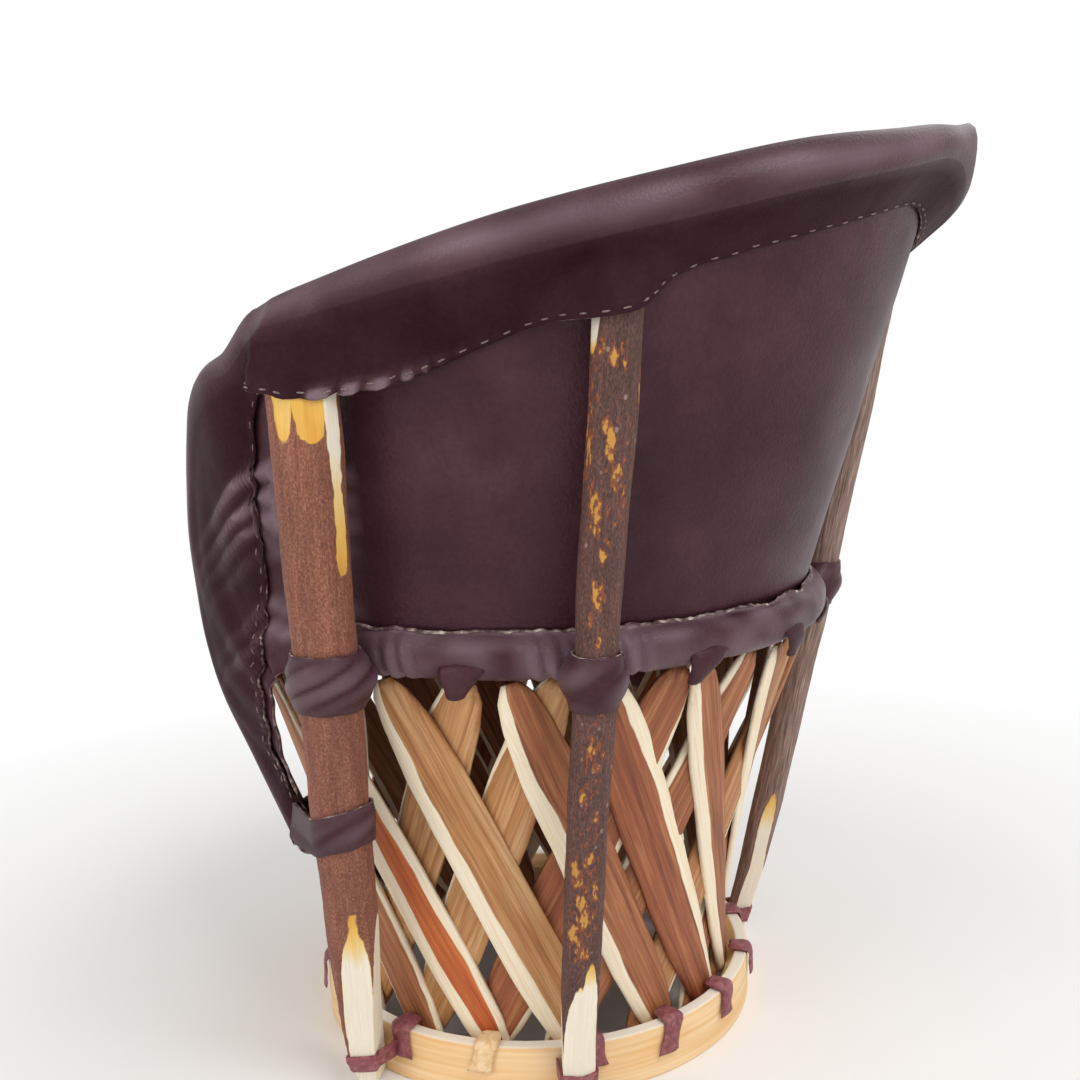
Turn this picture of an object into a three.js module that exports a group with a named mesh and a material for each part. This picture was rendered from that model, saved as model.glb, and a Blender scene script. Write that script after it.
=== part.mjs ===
// An equipale: a barrel chair of bent wood, split cedar slats, posts with their bark left on, and leather.
// Millimetres, +Z up. The sitter faces -Y, and +X is at the sitter's left.
// The origin is on the floor, under the middle of the chair's outline.
//
// How it is built: a pine ring stands on the floor. Two layers of slats rise from inside it, leaning
// opposite ways, up to a seat hoop. Four round posts are tied outside the ring and the seat hoop.
// A rim hoop runs round the back, over the arms and down their fronts to the arm posts. One hide is
// stretched from the seat hoop to the rim hoop, folded outward over it and stitched down as a flap.
// A bearing is the angle round the chair, in degrees: 0 at the middle of the back, 90 at the left.

import * as THREE from 'three';

const fullTurn = 360;
const degree = (2 * Math.PI) / fullTurn;

// Base ring, a bent strip of pine
const ringOuterRadius = 223;
const ringWall = 22;
const ringHeight = 50;
const ringEdge = 2.5;
const ringSides = 72;

// Seat hoop, a bent rod, and the leather roll round it
const seatHoopRadius = 279;
const seatHoopHeight = 430;
const seatRodRadius = 10;
const rollReach = 21;
const rollInnerReach = 14;
const rollRise = 18;
const rollDrop = 22;
const rollPinch = 6;
const rollPinchSpread = 11;
const rollStations = 54;
const rollSteps = 7;
const rollStartAngle = -135;
const rollEndAngle = 180;

// Slats, in pairs that share a tie at the ring and at the seat
const slatPairs = 16;
const slatThickness = 7;
const slatEdgeShare = 0.45;
const slatWidth = 50;
const slatLift = 14;
const slatTurn = 45;
const firstPairBearing = 93;
const slatWidthShares = [1, 0.92, 1.04, 0.96, 1.06, 0.9, 1, 0.95];
const outerTopTurns = [-1, -6, -9, -9, -2, 1, 2, 1];
const innerTopTurns = [-2, 0, -2, 4.6, 3.7, 8, 4, 0];
const slatFootTurns = [0, 2, 1, -2, 0, 2, -1, 1];
// Each row is a place along the slat and the slat's width there
const slatOutlineShares = [
  [0, 0.3],
  [0.03, 0.56],
  [0.1, 0.78],
  [0.24, 0.96],
  [0.5, 1],
  [0.76, 0.98],
  [0.9, 0.82],
  [0.97, 0.6],
  [1, 0.3],
];

// Leather and the clearances between pieces
const leatherThickness = 3;
const bandThickness = 4;
const touchGap = 0.4;
const ringGap = 0.5;
const layerGap = 0.8;
const pocketSlack = 3;

// The back: a flared, reclined shell from the seat roll to the rim
const coverFootOut = 2;
const rimHeight = 826;
const backFlare = 75;
const backRecline = 34;
const rimStandoff = 9;
const rimRodRadius = 18;
const rimRodSides = 8;
const rimBearings = [0, 5, 10, 15, 20, 25, 30, 64, 71];
const flapPlaceShares = [0.2, 0.5, 1];
const pocketFlatShare = 1.4;
const pocketEdgeShare = 2.1;

// Rim hoop height by bearing, as shares of the rise from the seat roll to the rim
const rimRiseShares = [
  [0, 1],
  [15, 0.962],
  [30, 0.916],
  [45, 0.858],
  [60, 0.801],
  [75, 0.739],
  [85, 0.7],
  [95, 0.665],
  [104, 0.612],
];
// How thick the rim hoop is by bearing, as shares of rimRodRadius: it is stoutest over the back posts
const rimRodShares = [
  [0, 0.66],
  [15, 0.78],
  [30, 0.96],
  [60, 1],
  [80, 0.85],
  [95, 0.66],
  [104, 0.6],
];
// How far the rim hoop stands off the shell by bearing, as shares of rimStandoff
const rimStandoffShares = [
  [0, 1],
  [15, 0.75],
  [35, 0],
  [104, 0],
];
// Flap length by bearing, as shares of its longest run
const flapLength = 70;
const flapShares = [
  [0, 0.71],
  [30, 0.81],
  [40, 0.84],
  [48, 0.93],
  [56, 0.96],
  [70, 1],
  [76, 0.97],
  [80, 0.91],
  [88, 0.88],
  [96, 0.7],
  [104, 0.54],
];
// The arm's front, from its top corner down to the lashing. A row holds the hoop's bearing and its
// shares of outsideReach and rimHeight, the same for the hide's free edge, then the flap's share of
// flapLength and the hoop's share of rimRodRadius
const armFrontShares = [
  [103, 1.018, 0.806, 100.3, 0.944, 0.556, 0.48, 0.6],
  [110.3, 1.012, 0.79, 102, 0.978, 0.558, 0.48, 0.58],
  [118.6, 0.995, 0.764, 103, 0.993, 0.557, 0.53, 0.56],
  [127, 0.985, 0.722, 103.6, 0.993, 0.549, 0.59, 0.54],
  [132, 0.99, 0.673, 104, 0.993, 0.533, 0.64, 0.52],
  [134.2, 0.996, 0.612, 104.3, 0.993, 0.514, 0.65, 0.5],
  [134.6, 0.985, 0.55, 104.6, 0.993, 0.489, 0.65, 0.5],
  [132.6, 0.968, 0.493, 105, 0.988, 0.46, 0.62, 0.5],
  [126.8, 0.938, 0.438, 105.3, 0.978, 0.425, 0.51, 0.48],
  [116.2, 0.905, 0.384, 105.2, 0.954, 0.383, 0.31, 0.46],
];
const tailShares = [103.6, 0.93, 0.341, 0.17, 0.44];

// Posts: bearings at the foot, seat and top, radii at the foot, seat and top, and the whittled ends
const postLift = 3;
const postHeadroom = 6;
const armPost = {
  footRadius: 22,
  seatRadius: 26,
  topRadius: 28,
  standoff: 12,
  topThickness: 16,
  topWhittle: 110,
  footThickness: 12,
  footWhittle: 170,
};
const backPost = {
  footRadius: 16,
  seatRadius: 17.5,
  topRadius: 19,
  standoff: 2,
  topThickness: 15,
  topWhittle: 150,
  footThickness: 11,
  footWhittle: 140,
};
const posts = [
  { name: 'left_arm', wood: armPost, bearings: [98.8, 88, 87.3] },
  { name: 'left_back', wood: backPost, bearings: [50.4, 48.4, 49.4] },
  { name: 'right_back', wood: backPost, bearings: [-51, -43.2, -43.2] },
  { name: 'right_arm', wood: armPost, bearings: [-98.8, -88, -87.3] },
];
const postSides = 14;
const postTaperShare = 0.72;
const postStationShares = [0, 0.05, 0.1, 0.16, 0.24, 0.4, 0.55, 0.7, 0.8, 0.88, 0.94, 1];

// Leather bands and ties. The shares are levels across a band and how thick it is there.
const bandHeight = 54;
const bandDrop = 22;
const lowBandHeight = 44;
const lowBandLevel = 261;
const bandSides = 18;
const bandLevelShares = [-0.5, -0.42, 0, 0.42, 0.5];
const bandThickShares = [0.4, 0.95, 1, 0.95, 0.4];
const tieThickness = 3;
const postTieHeight = 17;
const postTieLevel = 32;
const tieLevelShares = [-0.5, -0.3, 0.3, 0.5];
const tieThickShares = [0.6, 1, 1, 0.6];
const tieTurns = [-100, -90, -65, -40, -15, 15, 40, 65, 90, 100];

// Seat leather
const seatSag = 14;
const seatRings = 6;
const seatSides = 48;

const bark = '#7d5040';
const leather = '#5a3d44';
const materials = {
  pine: new THREE.MeshStandardMaterial({ color: '#f5cfa0', roughness: 0.6, metalness: 0 }),
  cedar: new THREE.MeshStandardMaterial({ color: '#9a5a3c', roughness: 0.7, metalness: 0 }),
  rod: new THREE.MeshStandardMaterial({ color: '#8a6a4a', roughness: 0.8, metalness: 0 }),
  bark: new THREE.MeshStandardMaterial({ color: bark, roughness: 0.9, metalness: 0 }),
  leather: new THREE.MeshStandardMaterial({ color: leather, roughness: 0.5, metalness: 0 }),
};

const chair = new THREE.Group();

function addPiece(name, geometry, material) {
  const mesh = new THREE.Mesh(geometry, material.clone());
  mesh.name = name;
  chair.add(mesh);
}

// A point at a radius and bearing round the chair's axis
function around(radius, bearing, height) {
  return new THREE.Vector3(radius * Math.sin(bearing * degree), radius * Math.cos(bearing * degree), height);
}

function mix(a, b, share) {
  return a + (b - a) * share;
}

// A smooth curve through the rows of a table, mirrored about the middle of the back
function tableAt(rows, bearing) {
  const x = Math.min(Math.abs(bearing), rows[rows.length - 1][0]);
  const found = rows.findIndex((row) => row[0] >= x);
  const i = Math.max(found, 1);
  const [x0, y0] = rows[i - 1];
  const [x1, y1] = rows[i];
  const before = rows[i - 2] ?? [-rows[1][0], rows[1][1]];
  const after = rows[i + 1] ?? rows[i];
  const slope0 = (y1 - before[1]) / (x1 - before[0]);
  const slope1 = after === rows[i] ? (y1 - y0) / (x1 - x0) : (after[1] - y0) / (after[0] - x0);
  const run = x1 - x0;
  const t = (x - x0) / run;
  const blend = t * t * (3 - 2 * t);
  const lean0 = t * (1 - t) * (1 - t) * run * slope0;
  const lean1 = t * t * (t - 1) * run * slope1;
  return mix(y0, y1, blend) + lean0 + lean1;
}

// A solid through rings of points. An open run of rings is capped with the given outline.
function loft(rings, outline) {
  const count = rings[0].length;
  const positions = rings.flat().flatMap((point) => point.toArray());
  const faces = [];
  const runs = outline ? rings.length - 1 : rings.length;
  for (let i = 0; i < runs; i += 1) {
    const next = (i + 1) % rings.length;
    for (let j = 0; j < count; j += 1) {
      const side = (j + 1) % count;
      const a = i * count + j;
      const b = i * count + side;
      const c = next * count + side;
      const d = next * count + j;
      faces.push([a, b, c], [a, c, d]);
    }
  }
  if (outline) {
    const last = (rings.length - 1) * count;
    const area = THREE.ShapeUtils.area(outline);
    for (const [a, b, c] of THREE.ShapeUtils.triangulateShape(outline, [])) {
      const turned = area > 0 ? [a, c, b] : [a, b, c];
      faces.push(turned);
      faces.push([last + turned[0], last + turned[2], last + turned[1]]);
    }
  }
  const corner = (index) => rings[Math.floor(index / count)][index % count];
  const volume = faces.reduce((sum, [a, b, c]) => {
    const normal = new THREE.Vector3().crossVectors(corner(b), corner(c));
    return sum + corner(a).dot(normal);
  }, 0);
  const outward = volume > 0 ? faces : faces.map(([a, b, c]) => [a, c, b]);
  const geometry = new THREE.BufferGeometry();
  geometry.setAttribute('position', new THREE.Float32BufferAttribute(positions, 3));
  geometry.setIndex(outward.flat());
  geometry.computeVertexNormals();
  return geometry;
}

// The outline of a regular polygon, for capping a round end
function roundOutline(sides) {
  return Array.from({ length: sides }, (_, i) => {
    const turn = (i / sides) * 2 * Math.PI;
    return new THREE.Vector2(Math.cos(turn), Math.sin(turn));
  });
}

// Base ring: a strip with eased edges, turned about the chair's axis
function baseRing() {
  const inner = ringOuterRadius - ringWall;
  const corners = [
    [inner + ringEdge, 0],
    [ringOuterRadius - ringEdge, 0],
    [ringOuterRadius, ringEdge],
    [ringOuterRadius, ringHeight - ringEdge],
    [ringOuterRadius - ringEdge, ringHeight],
    [inner + ringEdge, ringHeight],
    [inner, ringHeight - ringEdge],
    [inner, ringEdge],
    [inner + ringEdge, 0],
  ];
  const profile = corners.map(([radius, height]) => new THREE.Vector2(radius, height));
  const geometry = new THREE.LatheGeometry(profile, ringSides);
  geometry.rotateX(90 * degree);
  return geometry;
}

// How far the seat roll is squeezed in by the arm posts' bands
function pinchAt(bearing) {
  return posts.reduce((sum, { wood, bearings }) => {
    const turn = THREE.MathUtils.euclideanModulo(bearing - bearings[1] + fullTurn / 2, fullTurn) - fullTurn / 2;
    const share = Math.exp(-((turn / rollPinchSpread) ** 2));
    return wood === armPost ? sum + rollPinch * share : sum;
  }, 0);
}

function rollOuterRadius(bearing) {
  return seatHoopRadius + rollReach - pinchAt(bearing);
}

// Seat hoop and seat roll share their stations round the chair, so the roll's bore follows the rod
function ringStations(sectionAt) {
  return Array.from({ length: rollStations }, (_, i) => {
    const bearing = (i / rollStations) * fullTurn;
    return sectionAt(bearing).map(([out, up]) => around(seatHoopRadius + out, bearing, seatHoopHeight + up));
  });
}

function rodSection(radius) {
  return Array.from({ length: rimRodSides }, (_, i) => {
    const turn = (i / rimRodSides) * 2 * Math.PI;
    return [radius * Math.cos(turn), radius * Math.sin(turn)];
  });
}

// The roll wraps the rod from under its inner side, round the outside and over the top
function rollSection(bearing) {
  const reach = rollReach - pinchAt(bearing);
  const boreRadius = seatRodRadius + touchGap;
  const outer = [];
  const bore = [];
  for (let i = 0; i <= rollSteps; i += 1) {
    const turn = mix(rollStartAngle, rollEndAngle, i / rollSteps) * degree;
    const out = Math.cos(turn) * (Math.cos(turn) > 0 ? reach : rollInnerReach);
    const up = Math.sin(turn) * (Math.sin(turn) > 0 ? rollRise : rollDrop);
    outer.push([out, up]);
    bore.unshift([boreRadius * Math.cos(turn), boreRadius * Math.sin(turn)]);
  }
  return [...outer, ...bore];
}

// Slats. Each follows a straight line from the ring to the seat, so the drum has a waist.
const slatTop = seatHoopHeight - rollDrop - ringGap;
const slatFootRadius = ringOuterRadius - ringWall - ringGap - slatThickness;
const slatTopRadius = seatHoopRadius + ringGap;
const slatRise = slatTop - ringHeight;

function drumRadius(share) {
  const foot = slatFootRadius * (1 - share);
  const top = slatTopRadius * share;
  return Math.sqrt(foot * foot + top * top + 2 * foot * top * Math.cos(slatTurn * degree));
}

function drumTurn(share) {
  const across = slatTopRadius * share * Math.sin(slatTurn * degree);
  const along = slatFootRadius * (1 - share) + slatTopRadius * share * Math.cos(slatTurn * degree);
  return Math.atan2(across, along) / degree;
}

const slatRun = Math.hypot(
  slatTopRadius * Math.cos(slatTurn * degree) - slatFootRadius,
  slatTopRadius * Math.sin(slatTurn * degree),
);
const slatLean = Math.atan2(slatRun, slatRise);

function slat(pair, inner) {
  const way = inner ? -1 : 1;
  const inset = inner ? slatThickness + layerGap : 0;
  const odd = (pair + (inner ? 3 : 0)) % slatWidthShares.length;
  const halfWidth = (slatWidth / 2) * slatWidthShares[odd];
  const foot = firstPairBearing - (pair * fullTurn) / slatPairs + slatFootTurns[odd];
  const topTurn = (inner ? innerTopTurns : outerTopTurns)[odd] - slatFootTurns[odd];
  const tip = halfWidth * slatOutlineShares[0][1] * Math.sin(slatLean);
  const low = slatLift + tip;
  const high = slatTop - tip;
  const rings = slatOutlineShares.map(([along, wide]) => {
    const height = mix(low, high, along);
    const share = (height - ringHeight) / slatRise;
    const bearing = foot + way * drumTurn(share) + topTurn * along;
    const place = (side, lift) => {
      const offset = side * halfWidth * wide;
      const z = height + offset * Math.sin(slatLean);
      const radius = drumRadius(Math.max((z - ringHeight) / slatRise, 0)) - inset;
      const turn = (-way * offset * Math.cos(slatLean)) / radius / degree;
      return around(radius + lift * slatThickness, bearing + turn, z);
    };
    return [place(-1, 0), place(0, 0), place(1, 0), place(1, slatEdgeShare), place(0, 1), place(-1, slatEdgeShare)];
  });
  const outline = [[-1, 0], [0, 0], [1, 0], [1, slatEdgeShare], [0, 1], [-1, slatEdgeShare]];
  return loft(rings, outline.map(([x, y]) => new THREE.Vector2(x, y)));
}

// The back's shell: its outer face's radius and its axis both grow with height
const coverFoot = seatHoopHeight + rollRise + touchGap;
const coverRise = rimHeight - coverFoot;
const coverFootRadius = seatHoopRadius + coverFootOut;

function coverRadius(height) {
  return coverFootRadius + (backFlare * (height - coverFoot)) / coverRise;
}

function onShell(offset, bearing, height) {
  const point = around(coverRadius(height) + offset, bearing, height);
  point.y += (backRecline * (height - coverFoot)) / coverRise;
  return point;
}

function rimHeightAt(bearing) {
  return coverFoot + coverRise * tableAt(rimRiseShares, bearing);
}

function rimRodAt(bearing) {
  return rimRodRadius * tableAt(rimRodShares, bearing);
}

// A post ends below the rim hoop, which is lower at the post's front edge
function postTop({ wood, bearings }) {
  const edge = Math.abs(bearings[2]) + wood.topRadius / coverFootRadius / degree;
  return rimHeightAt(edge) - rimRodAt(edge) - touchGap - postHeadroom;
}

// The post's centre at a height: a gentle curve through its seats at the ring, the seat and the rim
function postCentre(post, height) {
  const { wood, bearings } = post;
  const [footBearing, seatBearing, topBearing] = bearings;
  const top = postTop(post);
  const seatOut = rollOuterRadius(seatBearing) + bandThickness + 2 * touchGap + wood.seatRadius;
  const seats = [
    around(ringOuterRadius + touchGap + wood.footRadius, footBearing, postLift),
    around(seatOut, seatBearing, seatHoopHeight),
    onShell(wood.standoff + wood.topRadius, topBearing, top),
  ];
  const centre = new THREE.Vector3();
  seats.forEach((seat, i) => {
    const others = seats.filter((_, j) => j !== i);
    const weight = others.reduce((product, other) => product * (height - other.z) / (seat.z - other.z), 1);
    centre.addScaledVector(seat, weight);
  });
  centre.z = height;
  return centre;
}

function postRadius(post, height) {
  const { wood } = post;
  if (height < seatHoopHeight) {
    return mix(wood.footRadius, wood.seatRadius, (height - postLift) / (seatHoopHeight - postLift));
  }
  const share = (height - seatHoopHeight) / (postTop(post) - seatHoopHeight);
  return mix(wood.seatRadius, wood.topRadius, share);
}

// How thick the post is from its inner side outward, where its ends are cut to a flat face
function postThickness(post, height) {
  const { wood } = post;
  const full = 2 * postRadius(post, height);
  const fromTop = (postTop(post) - height) / wood.topWhittle;
  const fromFoot = (height - postLift) / wood.footWhittle;
  const atTop = mix(wood.topThickness, 2 * wood.topRadius, Math.max(fromTop, 0));
  const atFoot = mix(wood.footThickness, 2 * wood.footRadius, Math.max(fromFoot, 0));
  return Math.min(full, atTop, atFoot);
}

// Outward and sideways directions at a post
function postAxes(post, height) {
  const outward = postCentre(post, height).setZ(0).normalize();
  const sideways = new THREE.Vector3(-outward.y, outward.x, 0);
  return { outward, sideways };
}

function postSolid(post) {
  const top = postTop(post);
  const rings = postStationShares.map((share) => {
    const height = mix(postLift, top, share);
    const radius = postRadius(post, height);
    const cut = postThickness(post, height) - radius;
    const foot = Math.min((height - postLift) / post.wood.footWhittle, 1);
    const narrow = mix(postTaperShare, 1, foot);
    const { outward, sideways } = postAxes(post, height);
    return Array.from({ length: postSides }, (_, i) => {
      const turn = (i / postSides) * 2 * Math.PI;
      const out = Math.min(radius * Math.cos(turn), cut);
      return postCentre(post, height)
        .addScaledVector(outward, out)
        .addScaledVector(sideways, narrow * radius * Math.sin(turn));
    });
  });
  return loft(rings, roundOutline(postSides));
}

// A leather band round a post, with rounded edges, between two heights
function band(post, middle, height) {
  const levels = bandLevelShares.map((share) => middle + share * height);
  const rings = Array.from({ length: bandSides }, (_, i) => {
    const turn = (i / bandSides) * 2 * Math.PI;
    const place = (z, out) => {
      const { outward, sideways } = postAxes(post, z);
      const flat = 1 / Math.cos(Math.PI / postSides);
      const radius = postRadius(post, z) * flat + touchGap + out;
      return postCentre(post, z)
        .addScaledVector(outward, radius * Math.cos(turn))
        .addScaledVector(sideways, radius * Math.sin(turn));
    };
    const outside = levels.map((z, k) => place(z, bandThickness * bandThickShares[k]));
    const inside = [place(levels[4], 0), place(levels[2], 0), place(levels[0], 0)];
    return [...outside, ...inside];
  });
  return loft(rings);
}

// Rim hoop and hide share one run of stations. A row holds the hoop's centre and radius, the foot of
// the hide and how long the flap is there.
function backRows() {
  const bearings = [...rimBearings];
  const marks = posts.filter(({ name }) => name.startsWith('left')).map((post) => {
    const middle = post.bearings[2];
    const reach = coverRadius(postTop(post));
    const half = Math.asin((post.wood.topRadius + pocketSlack) / reach) / degree;
    return [-pocketEdgeShare, -1, 0, 1, pocketEdgeShare].map((share) => middle + share * half);
  });
  bearings.push(...marks.flat());
  const ordered = bearings.sort((a, b) => a - b).filter((value, i, all) => i === 0 || value - all[i - 1] > 1);
  return ordered.map((bearing) => {
    const rod = rimRodAt(bearing);
    const off = rimStandoff * tableAt(rimStandoffShares, bearing);
    const hoop = onShell(rod + touchGap + off, bearing, rimHeightAt(bearing));
    const foot = around(coverFootRadius + rod + touchGap, bearing, coverFoot);
    const leanShare = Math.hypot(hoop.x - foot.x, hoop.y - foot.y) / hoop.distanceTo(foot);
    foot.z -= (rod + touchGap) * leanShare;
    return { hoop, foot, flap: flapLength * tableAt(flapShares, bearing), rod };
  });
}

// In front of the arm posts the hide runs outside the seat roll, down to its lashing
const outsideReach = seatHoopRadius + rollReach + leatherThickness + 2 * touchGap + rimRodRadius;

function armRows() {
  const edgeAt = (bearing, reach, height) => around(outsideReach * reach, bearing, rimHeight * height);
  const rows = armFrontShares.map((row) => {
    const [bearing, reach, height, edgeBearing, edgeReach, edgeHeight, flap, rod] = row;
    return {
      hoop: edgeAt(bearing, reach, height),
      foot: edgeAt(edgeBearing, edgeReach, edgeHeight),
      flap: flapLength * flap,
      rod: rimRodRadius * rod,
    };
  });
  const post = posts[0];
  const level = lowBandLevel - lowBandHeight / 4;
  const [bearing, reach, height, flap, rod] = tailShares;
  const wrapped = rimRodRadius * rod + leatherThickness;
  const beside = postRadius(post, level) + bandThickness + wrapped + 4 * touchGap;
  rows.push({
    hoop: postCentre(post, level).addScaledVector(postAxes(post, level).sideways, -beside),
    foot: edgeAt(bearing, reach, height),
    flap: flapLength * flap,
    rod: rimRodRadius * rod,
  });
  return rows;
}

function rimRuns() {
  const left = [...backRows(), ...armRows()];
  const right = left.slice(1).reverse().map(({ hoop, foot, flap, rod }) => ({
    hoop: hoop.clone().setX(-hoop.x),
    foot: foot.clone().setX(-foot.x),
    flap,
    rod,
  }));
  const rows = [...right, ...left];
  return rows.map(({ hoop, foot, flap, rod }, i) => {
    const before = rows[Math.max(i - 1, 0)].hoop;
    const after = rows[Math.min(i + 1, rows.length - 1)].hoop;
    const down = foot.clone().sub(hoop);
    const length = down.length();
    down.normalize();
    const outward = after.clone().sub(before).cross(down).normalize();
    return { centre: hoop, down, outward, length, flap, rod };
  });
}

const rimStations = rimRuns();

function onRim({ centre, down, outward }, along, out) {
  return centre.clone().addScaledVector(down, along).addScaledVector(outward, out);
}

function rimHoop() {
  const rings = rimStations.map((station) =>
    rodSection(station.rod).map(([along, out]) => onRim(station, along, out)));
  return loft(rings, roundOutline(rimRodSides));
}

// Where the flap has to pass outside a post's top, measured outward from the hoop's centre.
// The second pass allows for the flap's own slope.
function pocketAt(station, along, loose) {
  const passOver = (guess) => posts.reduce((most, post) => {
    const point = onRim(station, along, guess);
    const { outward, sideways } = postAxes(post, point.z);
    const proud = postThickness(post, point.z) - postRadius(post, point.z) + pocketSlack;
    const face = postCentre(post, point.z).addScaledVector(outward, proud).sub(point);
    const facing = outward.dot(station.outward);
    if (facing < 0) {
      return most;
    }
    const aside = Math.abs(face.dot(sideways)) / (post.wood.topRadius + pocketSlack);
    const share = THREE.MathUtils.clamp((pocketEdgeShare - aside) / (pocketEdgeShare - pocketFlatShare), 0, 1);
    return Math.max(most, mix(loose, guess + face.dot(outward) / facing, share));
  }, loose);
  return passOver(passOver(loose));
}

// How far the sheet bows outward on its way from the hoop to its foot, to follow the seat's curve
const sheetShares = [0, 0.3, 0.65, 1];

function sheetBow({ centre, down, length }) {
  const foot = centre.clone().addScaledVector(down, length);
  const reach = (point) => Math.hypot(point.x, point.y);
  return sheetShares.map((share) => {
    const point = centre.clone().lerp(foot, share);
    return mix(reach(centre), reach(foot), share) - reach(point);
  });
}

// The hide: a sheet up the inside of the rim hoop, over it, and down the outside as the flap
function hideSection(station) {
  const { length, flap, rod } = station;
  const inner = rod + touchGap;
  const outer = inner + leatherThickness;
  const bow = sheetBow(station);
  const bowAt = (along) => {
    const share = along / length;
    const i = Math.min(sheetShares.findIndex((value) => value >= share), sheetShares.length - 1);
    const from = sheetShares[Math.max(i - 1, 0)];
    const step = (share - from) / (sheetShares[Math.max(i, 1)] - from);
    return mix(bow[Math.max(i - 1, 0)], bow[Math.max(i, 1)], step);
  };
  const bends = [45, 90, 135];
  const over = (radius, turn) => [-radius * Math.sin(turn * degree), -radius * Math.cos(turn * degree)];
  const flapOut = (share) => {
    const along = flap * share;
    const fallen = (share - flapPlaceShares[0]) / (1 - flapPlaceShares[0]);
    const beside = Math.sqrt(Math.max(inner * inner - along * along, 0));
    const straight = mix(inner, touchGap - inner, fallen);
    const loose = along < inner ? Math.max(straight, beside) : straight;
    return pocketAt(station, along, loose) + bowAt(along);
  };
  const outside = flapPlaceShares.map((share) => [flap * share, flapOut(share)]);
  const sheet = sheetShares.map((share, i) => [share * length, bow[i]]);
  return [
    ...sheet.map(([along, out]) => [along, out - outer]).reverse(),
    ...bends.map((turn) => over(outer, turn)),
    [0, outer],
    ...outside.map(([along, out]) => [along, out + leatherThickness]),
    ...outside.reverse(),
    [0, inner],
    ...bends.map((turn) => over(inner, turn)).reverse(),
    ...sheet.map(([along, out]) => [along, out - inner]),
  ];
}

function backHide() {
  const sections = rimStations.map(hideSection);
  const rings = rimStations.map((station, i) => sections[i].map(([along, out]) => onRim(station, along, out)));
  const outline = sections[0].map(([along, out]) => new THREE.Vector2(along, out));
  return loft(rings, outline);
}

// Seat leather: a dish with its edge against the roll's inner side
function seatDish() {
  const edge = seatHoopRadius - rollInnerReach - ringGap;
  const edgeHeight = seatHoopHeight + leatherThickness;
  const profile = [];
  for (let i = 0; i <= seatRings; i += 1) {
    const share = i / seatRings;
    profile.push(new THREE.Vector2(edge * share, edgeHeight - seatSag * (1 - share * share)));
  }
  const top = [...profile].reverse().map(({ x, y }) => new THREE.Vector2(x, y + leatherThickness));
  profile.push(...top);
  const geometry = new THREE.LatheGeometry(profile, seatSides);
  geometry.rotateX(90 * degree);
  return geometry;
}

// A strap round the outside of a post's whittled foot, from the ring's face on one side to the other
function postTie(post) {
  const levels = tieLevelShares.map((share) => postTieLevel + share * postTieHeight);
  const place = (z, turn, out) => {
    const { outward, sideways } = postAxes(post, z);
    const radius = postRadius(post, z);
    const cut = postThickness(post, z) - radius;
    const narrow = mix(postTaperShare, 1, (z - postLift) / post.wood.footWhittle);
    const past = Math.abs(turn) > 90;
    const front = Math.min((radius + out) * Math.cos(turn * degree), cut + out);
    const across = past ? Math.sign(turn) : Math.sin(turn * degree);
    return postCentre(post, z)
      .addScaledVector(outward, past ? touchGap - radius : front)
      .addScaledVector(sideways, (narrow * radius + out) * across);
  };
  const rings = tieTurns.map((turn) => [
    ...levels.map((z, i) => place(z, turn, touchGap + tieThickness * tieThickShares[i])),
    place(levels[3], turn, touchGap),
    place(levels[0], turn, touchGap),
  ]);
  const outside = levels.map((z, i) => [tieThickness * tieThickShares[i], z]);
  const outline = [...outside, [0, levels[3]], [0, levels[0]]];
  return loft(rings, outline.map(([x, y]) => new THREE.Vector2(x, y)));
}

addPiece('base_ring', baseRing(), materials.pine);
addPiece('seat_hoop', loft(ringStations(() => rodSection(seatRodRadius))), materials.rod);
addPiece('seat_roll', loft(ringStations(rollSection)), materials.leather);
addPiece('seat_leather', seatDish(), materials.leather);
addPiece('rim_hoop', rimHoop(), materials.rod);
addPiece('back_hide', backHide(), materials.leather);

for (let pair = 0; pair < slatPairs; pair += 1) {
  const number = String(pair + 1).padStart(2, '0');
  addPiece(`outer_slat_${number}`, slat(pair, false), materials.cedar);
  addPiece(`inner_slat_${number}`, slat(pair, true), materials.cedar);
}

for (const post of posts) {
  addPiece(`${post.name}_post`, postSolid(post), materials.bark);
  addPiece(`${post.name}_foot_tie`, postTie(post), materials.leather);
  addPiece(`${post.name}_seat_band`, band(post, seatHoopHeight - bandDrop, bandHeight), materials.leather);
  if (post.wood === armPost) {
    addPiece(`${post.name}_low_band`, band(post, lowBandLevel, lowBandHeight), materials.leather);
  }
}

// The chair stands on the floor, with the middle of its outline over the origin
const box = new THREE.Box3().setFromObject(chair);
const middle = box.getCenter(new THREE.Vector3());
chair.position.set(-middle.x, -middle.y, -box.min.z);

export default chair;
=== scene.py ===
import math

import bmesh
import bpy
from mathutils import Matrix, Vector, noise


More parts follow.
